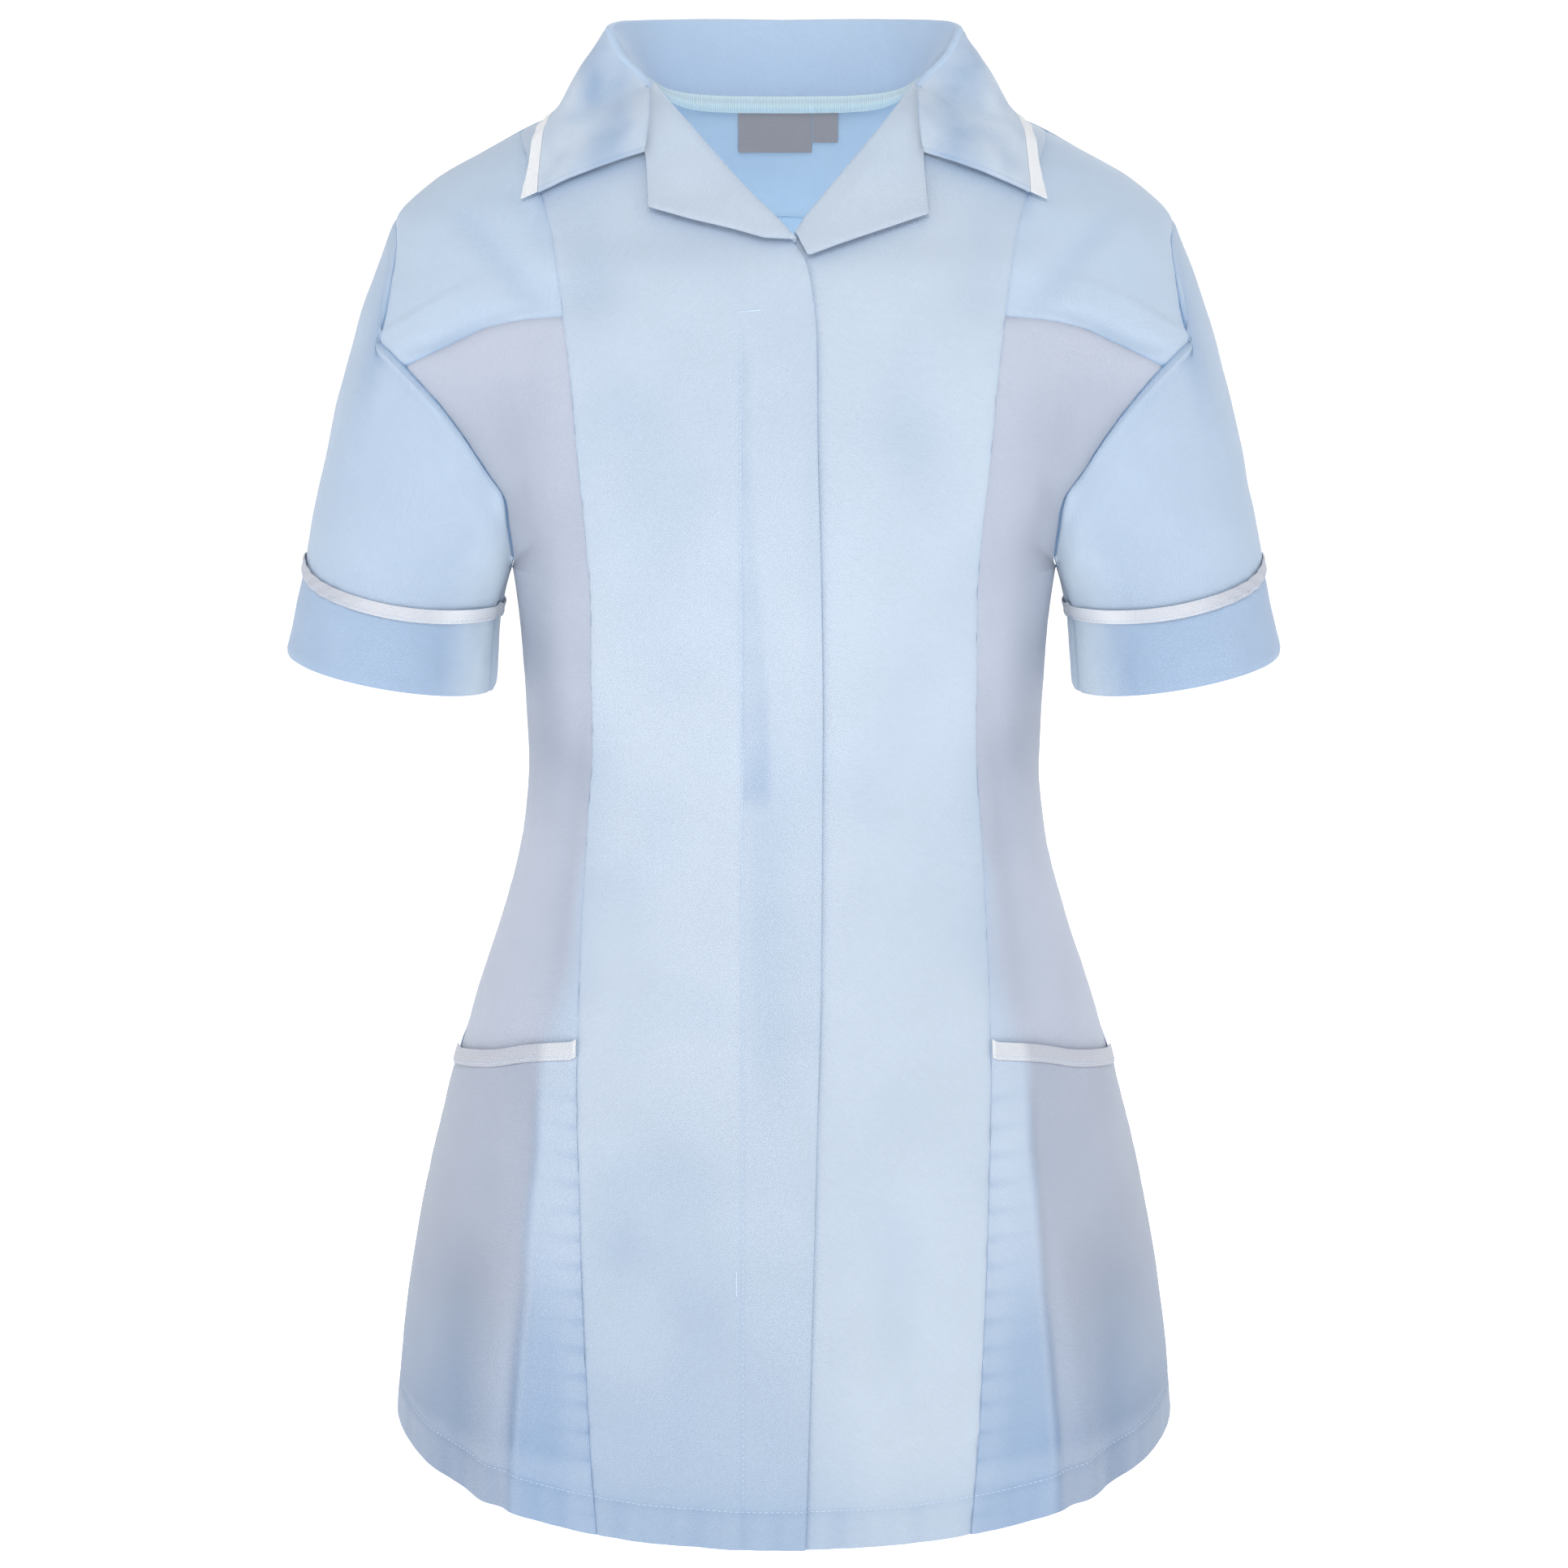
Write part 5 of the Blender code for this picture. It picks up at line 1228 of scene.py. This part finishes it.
COLLAR_BRAID_REACH = np.linspace(0.3, 8.8, BRAID_LINES)
onward = unit(collar_points[-1] - collar_points[-3])
braid_rows = []
for reach in COLLAR_BRAID_REACH:
    row = collar_points[-1] + onward * reach - collar_normals[-1] * 0.4
    braid_rows.append(row + collar_normals[-1] * (0.3 * unevenness(row, 11, 47) * reach / 9)[:, None])
lay_cloth("collar_braid_weave", "white_braid", cleared(np.array(braid_rows), BRAID_CLOTH + 0.6),
          collar_normals[-BRAID_LINES:], BRAID_CLOTH, WHITE_BRAID, (0.44, 0.0105), "stretched", 0.0042)


# The lapels: the tops of the fronts and their facings, turned back along the roll lines. Each is
# joined to the collar along the gorge and lies on its front, with its seamed edges pressed flat.
LAPELS = {
    -1: {"edge": RIGHT_EDGE, "break_drop": 70.0, "tip": (63.8, 54.9),
         "foot": [(-9.3, 69.6), (-32, 63.4)]},
    1: {"edge": LEFT_EDGE, "break_drop": 66.5, "tip": (68, 57.9),
        "foot": [(8.6, 71.5), (11.3, 76.1)]},
}
LAPEL_CLOTH = 1.3
LAPEL_COLUMNS = 34
LAPEL_ROWS = 56
LAPEL_OUT = 3.2
LAPEL_SHADE = 0.08
ROLL_MIDDLE = 1.2
ROLL_RADIUS = 1.6
ROLL_STEPS = 9
ROLL_TURNS = (-80, 90)


def evened(edge, count):
    """The same line with its points spaced evenly."""
    wanted = np.linspace(0, 1, count + 1)
    return np.stack([np.interp(wanted, shares_of(edge), edge[:, part]) for part in (0, 1)], -1)


for name, side in SIDES:
    lapel = LAPELS[side]
    roll_drops = np.linspace(GORGE["drop"][0], lapel["break_drop"], LAPEL_ROWS + 1)
    roll = np.stack([np.interp(roll_drops, lapel["edge"]["drop"], lapel["edge"]["x"]), roll_drops], -1)
    drops = np.linspace(GORGE["drop"][0], GORGE["drop"][-1], LAPEL_COLUMNS + 1)
    gorge = np.stack([side * read(GORGE, drops), drops], -1)
    gorge[0] = roll[0]
    tip = [side * lapel["tip"][0], lapel["tip"][1]]
    outer = evened(np.array([gorge[-1], tip]), LAPEL_ROWS)
    bottom = evened(np.array([roll[-1], *lapel["foot"], tip]), LAPEL_COLUMNS)
    flat = patch(gorge, bottom, roll, outer, shares_of)
    grid = np.stack([angle_at(flat[..., 0], flat[..., 1], 1), flat[..., 1]], -1)
    plain = plain_grid(grid)
    rise = overlap(plain[..., 0], grid[..., 1]) * (side < 0)
    across, down = np.linspace(0, 1, LAPEL_COLUMNS + 1)[None], np.linspace(0, 1, LAPEL_ROWS + 1)[:, None]
    crown = 0.5 * np.sin(np.pi * across) + 0.22 * unevenness(plain, 17, 51 + side)
    rim = np.minimum((1 - across) * 40, (1 - down) * 60)
    face = on_form(grid[..., 0], grid[..., 1], LAPEL_OUT + rise + crown - 0.4 * bell(rim, 0, 1.2))
    roll_line = on_form(grid[:, 0, 0], grid[:, 0, 1], rise[:, 0])
    normal = outward(roll_line)
    sideways = unit(np.cross(normal, np.gradient(roll_line, axis=0)))
    sideways *= -side * np.sign(sideways[:, :1])
    turns = np.radians(np.linspace(*ROLL_TURNS, ROLL_STEPS))
    round_out = ease(1 - down, 0, 0.12)
    rolled = [roll_line + sideways * (ROLL_RADIUS * math.cos(turn) * round_out)
              + normal * (ROLL_MIDDLE + ROLL_RADIUS * math.sin(turn)) for turn in turns]
    points = np.concatenate([np.stack(rolled, 1), face[:, 1:]], 1)
    facing = np.concatenate([np.repeat(normal[:, None], ROLL_STEPS, 1), outward(face[:, 1:])], 1)
    lay_cloth(f"lapel_{name}_cloth", "centre_cloth", points, facing, LAPEL_CLOTH, CENTRE_CLOTH,
              (0.08, 0.08), "folded", 0.0032, shade=LAPEL_SHADE * (1 - ease(-points[..., 2], 28, 50)))


# A woven label and a size tab beside it, both bare, hang from the neck seam inside the yoke. Above
# them the seam allowance of the neck is pressed up on the collar and neatened with overlock stitches.
LABELS = {
    "neck_label": {"x": (-23.3, 14.2), "drop": (14.0, 35.3), "flat": (0.0375, 0.026)},
    "size_tab": {"x": (14.8, 27.4), "drop": (14.0, 30.0), "flat": (0.0127, 0.018)},
}
LABEL_IN = 1.5
LABEL_CLOTH = 0.5
LABEL_COLUMNS, LABEL_ROWS = 37, 25
BAND_PLACES = 4.6
BAND_HEIGHT = 8.4
BAND_BELOW = 4.0
BAND_IN = 1.0
BAND_CLOTH = 0.5


def fine_weave(name, colour, across_pitch, along_pitch, contrast, depth):
    """Close even weave with threads of these pitches along both ways of the UV map."""
    finish = Finish(name, 0.6, 0.2)
    uv, rib, thread = finish.threads((1, 0, across_pitch), (0, 1, along_pitch))
    fuzz = finish.noise(uv, 1300)
    share = 0.5 + rib * 0.22 + thread * 0.16 + (fuzz - 0.5) * 0.5
    return finish.finished(finish.varied(share, colour, contrast, contrast), 0.6 + (fuzz - 0.5) * 0.15,
                           rib * 0.5 + thread * 0.4 + fuzz * 0.5, depth)


LABEL_WEAVE = fine_weave("label_satin", screen_colour(165, 154, 156), 0.0005, 0.0008, 0.10, 0.00007)
OVERLOCK = fine_weave("overlock_threads", screen_colour(218, 238, 255), 0.0011, 0.0046, 0.16, 0.00026)
for node, size in LABELS.items():
    xs, drops = np.meshgrid(np.linspace(*size["x"], LABEL_COLUMNS), np.linspace(*size["drop"], LABEL_ROWS))
    angles = angle_at(xs, drops, -1)
    plain = plain_point(angles, drops)
    down = (drops - drops[0]) / (drops[-1] - drops[0])
    curl = 0.5 * down ** 2 * (1 + unevenness(plain, 18, 61))
    lay_cloth(f"{node}_weave", "label_weave", on_form(angles, drops, -LABEL_IN - curl), -outward(plain),
              LABEL_CLOTH, LABEL_WEAVE, size["flat"], "hung")

band_places = np.linspace(0, BAND_PLACES, 70)
band_columns = [collar_column(place, side)
                for side, run in ((1, band_places[::-1]), (-1, band_places[1:])) for place in run]
band_rows = []
for part in np.linspace(0, 1, BRAID_LINES):
    rise, inside = BAND_HEIGHT * part - BAND_BELOW, BAND_IN * (1 + math.sin(math.pi * part))
    band_rows.append([foot + unit(above - foot) * rise - unit(foot * [1, 1, 0]) * inside
                      for foot, above, *_ in band_columns])
points = np.array(band_rows)
lay_cloth("neck_seam_overlock", "collar_cloth", points, (points.mean((0, 1)) - points) * [1, 1, 0],
          BAND_CLOTH, OVERLOCK, (0.22, 0.0105), "stretched", 0.0019, extra=True)


# Stitches, in pale blue polyester thread. One row holds the placket, with a bar tack near its top and
# one low down, and others hold the hem and the lower edges of the braids.
THREAD = Finish("sewing_thread", 0.5, 0.3)
thread_fuzz = THREAD.noise(THREAD.node("ShaderNodeTexCoord", {}, {}).outputs["Object"], 2500, 2)
THREAD.finished(THREAD.blend(thread_fuzz, screen_colour(190, 212, 238), screen_colour(222, 235, 250)),
                0.5, thread_fuzz, 0.00005)
STITCH_LENGTH = 2.1
STITCH_PITCH = 2.9
STITCH_WIDTH = 0.42
BAR_SIZE = (0.9, 0.55, 0.8)
PLACKET_POINTS, BAR_POINTS = 190, 30
FINDING_HEIGHT = 12.0
SLEEVE_STITCH_PART = 0.62


def surface_of(names):
    """The pieces with these names, as one surface to lay stitches on."""
    corners, faces = [], []
    for name in names:
        mesh = bpy.data.objects[name].data
        faces += [[corner + len(corners) for corner in face.vertices] for face in mesh.polygons]
        corners += [vertex.co.copy() for vertex in mesh.vertices]
    return BVHTree.FromPolygons(corners, faces)


def laid(surface, starts, inward, lift=0.05):
    """Points of a line, moved inward until they lie on the surface."""
    found = []
    for start, way in zip(starts, inward):
        hit, normal, _, _ = surface.ray_cast(Vector(start * MM), Vector(way))
        if hit is not None:
            found.append(hit - Vector(way) * (lift * MM))
    return found


def stitch_row(name, line, length=STITCH_LENGTH, pitch=STITCH_PITCH, width=STITCH_WIDTH):
    """One stitch, repeated along a line on the cloth."""
    bpy.ops.object.select_all(action="DESELECT")
    bpy.ops.mesh.primitive_uv_sphere_add(segments=6, ring_count=4, radius=0.5 * MM)
    stitch = bpy.context.object
    stitch.name = name
    bpy.ops.object.mode_set(mode="EDIT")
    bpy.ops.mesh.select_all(action="SELECT")
    bpy.ops.transform.rotate(value=math.radians(90), orient_axis="Y", center_override=(0, 0, 0))
    bpy.ops.transform.resize(value=(length, width, width), center_override=(0, 0, 0))
    bpy.ops.object.mode_set(mode="OBJECT")
    guide = bpy.data.curves.new(name + "_guide", "CURVE")
    guide.dimensions = "3D"
    spline = guide.splines.new("POLY")
    spline.points.add(len(line) - 1)
    for point, place in zip(spline.points, line):
        point.co = (*place, 1)
    path = bpy.data.objects.new(name + "_guide", guide)
    bpy.context.scene.collection.objects.link(path)
    run = sum((after - here).length for here, after in zip(line, line[1:]))
    repeat = stitch.modifiers.new("repeat", "ARRAY")
    repeat.count = max(1, int(run / (pitch * MM)))
    repeat.use_relative_offset = False
    repeat.use_constant_offset = True
    repeat.constant_offset_displace = (pitch * MM, 0, 0)
    follow = stitch.modifiers.new("follow", "CURVE")
    follow.object = path
    bpy.ops.object.modifier_apply(modifier="repeat")
    bpy.ops.object.modifier_apply(modifier="follow")
    bpy.data.objects.remove(path)
    stitch.data.materials.append(THREAD.material)
    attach(stitch, "root")


def on_surface(surface, angles, drops):
    """Points of a line of these angles and drops, on the surface."""
    plain = plain_point(angles, drops)
    normals = outward(plain)
    return laid(surface, plain + normals * FINDING_HEIGHT, -normals)


placket = surface_of(["front_centre_right_cloth"])
for name, xs, drops, *size in (
        ("placket_stitches", np.full(PLACKET_POINTS, PLACKET_X), np.linspace(112, 683, PLACKET_POINTS)),
        ("upper_bar_tack", np.linspace(-21.5, -10.5, BAR_POINTS), np.linspace(100.6, 99.4, BAR_POINTS),
         *BAR_SIZE),
        ("lower_bar_tack", np.full(BAR_POINTS, -23.2), np.linspace(567, 579, BAR_POINTS), *BAR_SIZE)):
    stitch_row(name, on_surface(placket, angle_at(xs, drops, 1), drops), *size)
hem_surface = surface_of([f"{name}_cloth" for name in (
    "front_centre_right", "front_centre_left", "pocket_right", "pocket_left", "back_side_right",
    "back_side_left", "back_centre")])
hem_angles = np.linspace(-180, 179.5, 720)
stitch_row("hem_stitches", on_surface(hem_surface, hem_angles, hem_drop(hem_angles) - HEM_HEIGHT))
for name, side in SIDES:
    below = pocket_columns[side]
    shares = np.linspace(0.02, 0.98, 80)
    drops = read(POCKET_MOUTH, shares) + BRAID_WIDTH * 0.8
    angles = [np.interp(drop, below[:, column, 1], below[:, column, 0])
              for drop, column in zip(drops, np.rint(shares * (below.shape[1] - 1)).astype(int))]
    binding = surface_of([f"pocket_braid_{name}_weave"])
    stitch_row(f"pocket_braid_{name}_stitches", on_surface(binding, np.array(angles), drops))
    ring = braid_ring(side, np.linspace(0, 358, 180))
    away = unit(ring - ring.mean(0))
    low = ring + sleeve_axis(side) * (SLEEVE_STITCH_PART * SLEEVE_BRAID_WIDTH / 2)
    band = surface_of([f"sleeve_braid_{name}_weave"])
    stitch_row(f"sleeve_braid_{name}_stitches", laid(band, low + away * FINDING_HEIGHT, -away))


# The studio: a plain pale floor, soft light from above and from both sides, and a camera at the
# photograph's angle, 13 degrees above the middle of the tunic.
AIM = Vector((0, 0, -0.351))
CAMERA_DISTANCE = 1.92
CAMERA_RISE = math.radians(13)
LENS = 86.2
FLOOR_DROP = 0.93
FLOOR_SIZE = 400.0

bpy.ops.object.select_all(action="DESELECT")
bpy.ops.mesh.primitive_plane_add(size=FLOOR_SIZE, location=(0, 0, -FLOOR_DROP))
floor = bpy.context.object
floor.name = "studio_floor"
floor_finish = bpy.data.materials.new("studio_floor")
floor_finish.use_nodes = True
floor_shader = floor_finish.node_tree.nodes["Principled BSDF"]
floor_shader.inputs["Base Color"].default_value = (0.93, 0.93, 0.93, 1)
floor_shader.inputs["Roughness"].default_value = 1.0
floor_shader.inputs["Emission Color"].default_value = (1, 1, 1, 1)
floor_shader.inputs["Emission Strength"].default_value = 0.62
floor.data.materials.append(floor_finish)

world = bpy.data.worlds.new("studio")
bpy.context.scene.world = world
world.use_nodes = True
sky = world.node_tree
way = sky.nodes.new("ShaderNodeTexCoord")
height = sky.nodes.new("ShaderNodeSeparateXYZ")
paler = sky.nodes.new("ShaderNodeMapRange")
paler.interpolation_type = "SMOOTHSTEP"
for socket, value in zip(("From Min", "From Max", "To Min", "To Max"), (0.02, 0.22, 1.0, 0.5)):
    paler.inputs[socket].default_value = value
sky.links.new(way.outputs["Generated"], height.inputs[0])
sky.links.new(height.outputs["Z"], paler.inputs["Value"])
sky.links.new(paler.outputs["Result"], sky.nodes["Background"].inputs["Strength"])
sky.nodes["Background"].inputs["Color"].default_value = (1, 1, 1, 1)


def soft_light(name, place, size, power):
    """A square studio lamp that faces the tunic."""
    lamp = bpy.data.lights.new(name, "AREA")
    lamp.size = size
    lamp.energy = power
    holder = bpy.data.objects.new(name, lamp)
    bpy.context.scene.collection.objects.link(holder)
    holder.location = Vector(place)
    holder.rotation_euler = (AIM - holder.location).to_track_quat("-Z", "Y").to_euler()
    return holder


soft_light("key_light", (-0.1, -2.2, 1.5), 1.2, 22)
soft_light("right_light", (-2.2, -0.8, 1.5), 1.2, 8)
soft_light("left_light", (2.2, -0.8, 1.5), 1.2, 8)
soft_light("back_light", (0.4, 2.4, 1.3), 1.6, 16)

# Light comes through thin cloth, and a small lamp in the hollow stands for it.
inner_light = soft_light("inner_light", (0, 0, -0.24), 0.12, 0.245)
inner_light.data.color = (0.70, 0.92, 0.97)
inner_light.rotation_euler = (math.radians(155), 0, 0)

camera = bpy.data.objects.new("camera", bpy.data.cameras.new("camera"))
bpy.context.scene.collection.objects.link(camera)
camera.data.lens = LENS
camera.data.clip_end = FLOOR_SIZE
camera.location = AIM + Vector((0, -math.cos(CAMERA_RISE), math.sin(CAMERA_RISE))) * CAMERA_DISTANCE
camera.rotation_euler = (math.radians(90) - CAMERA_RISE, 0, 0)
bpy.context.scene.camera = camera
bpy.context.scene.view_settings.view_transform = "Standard"
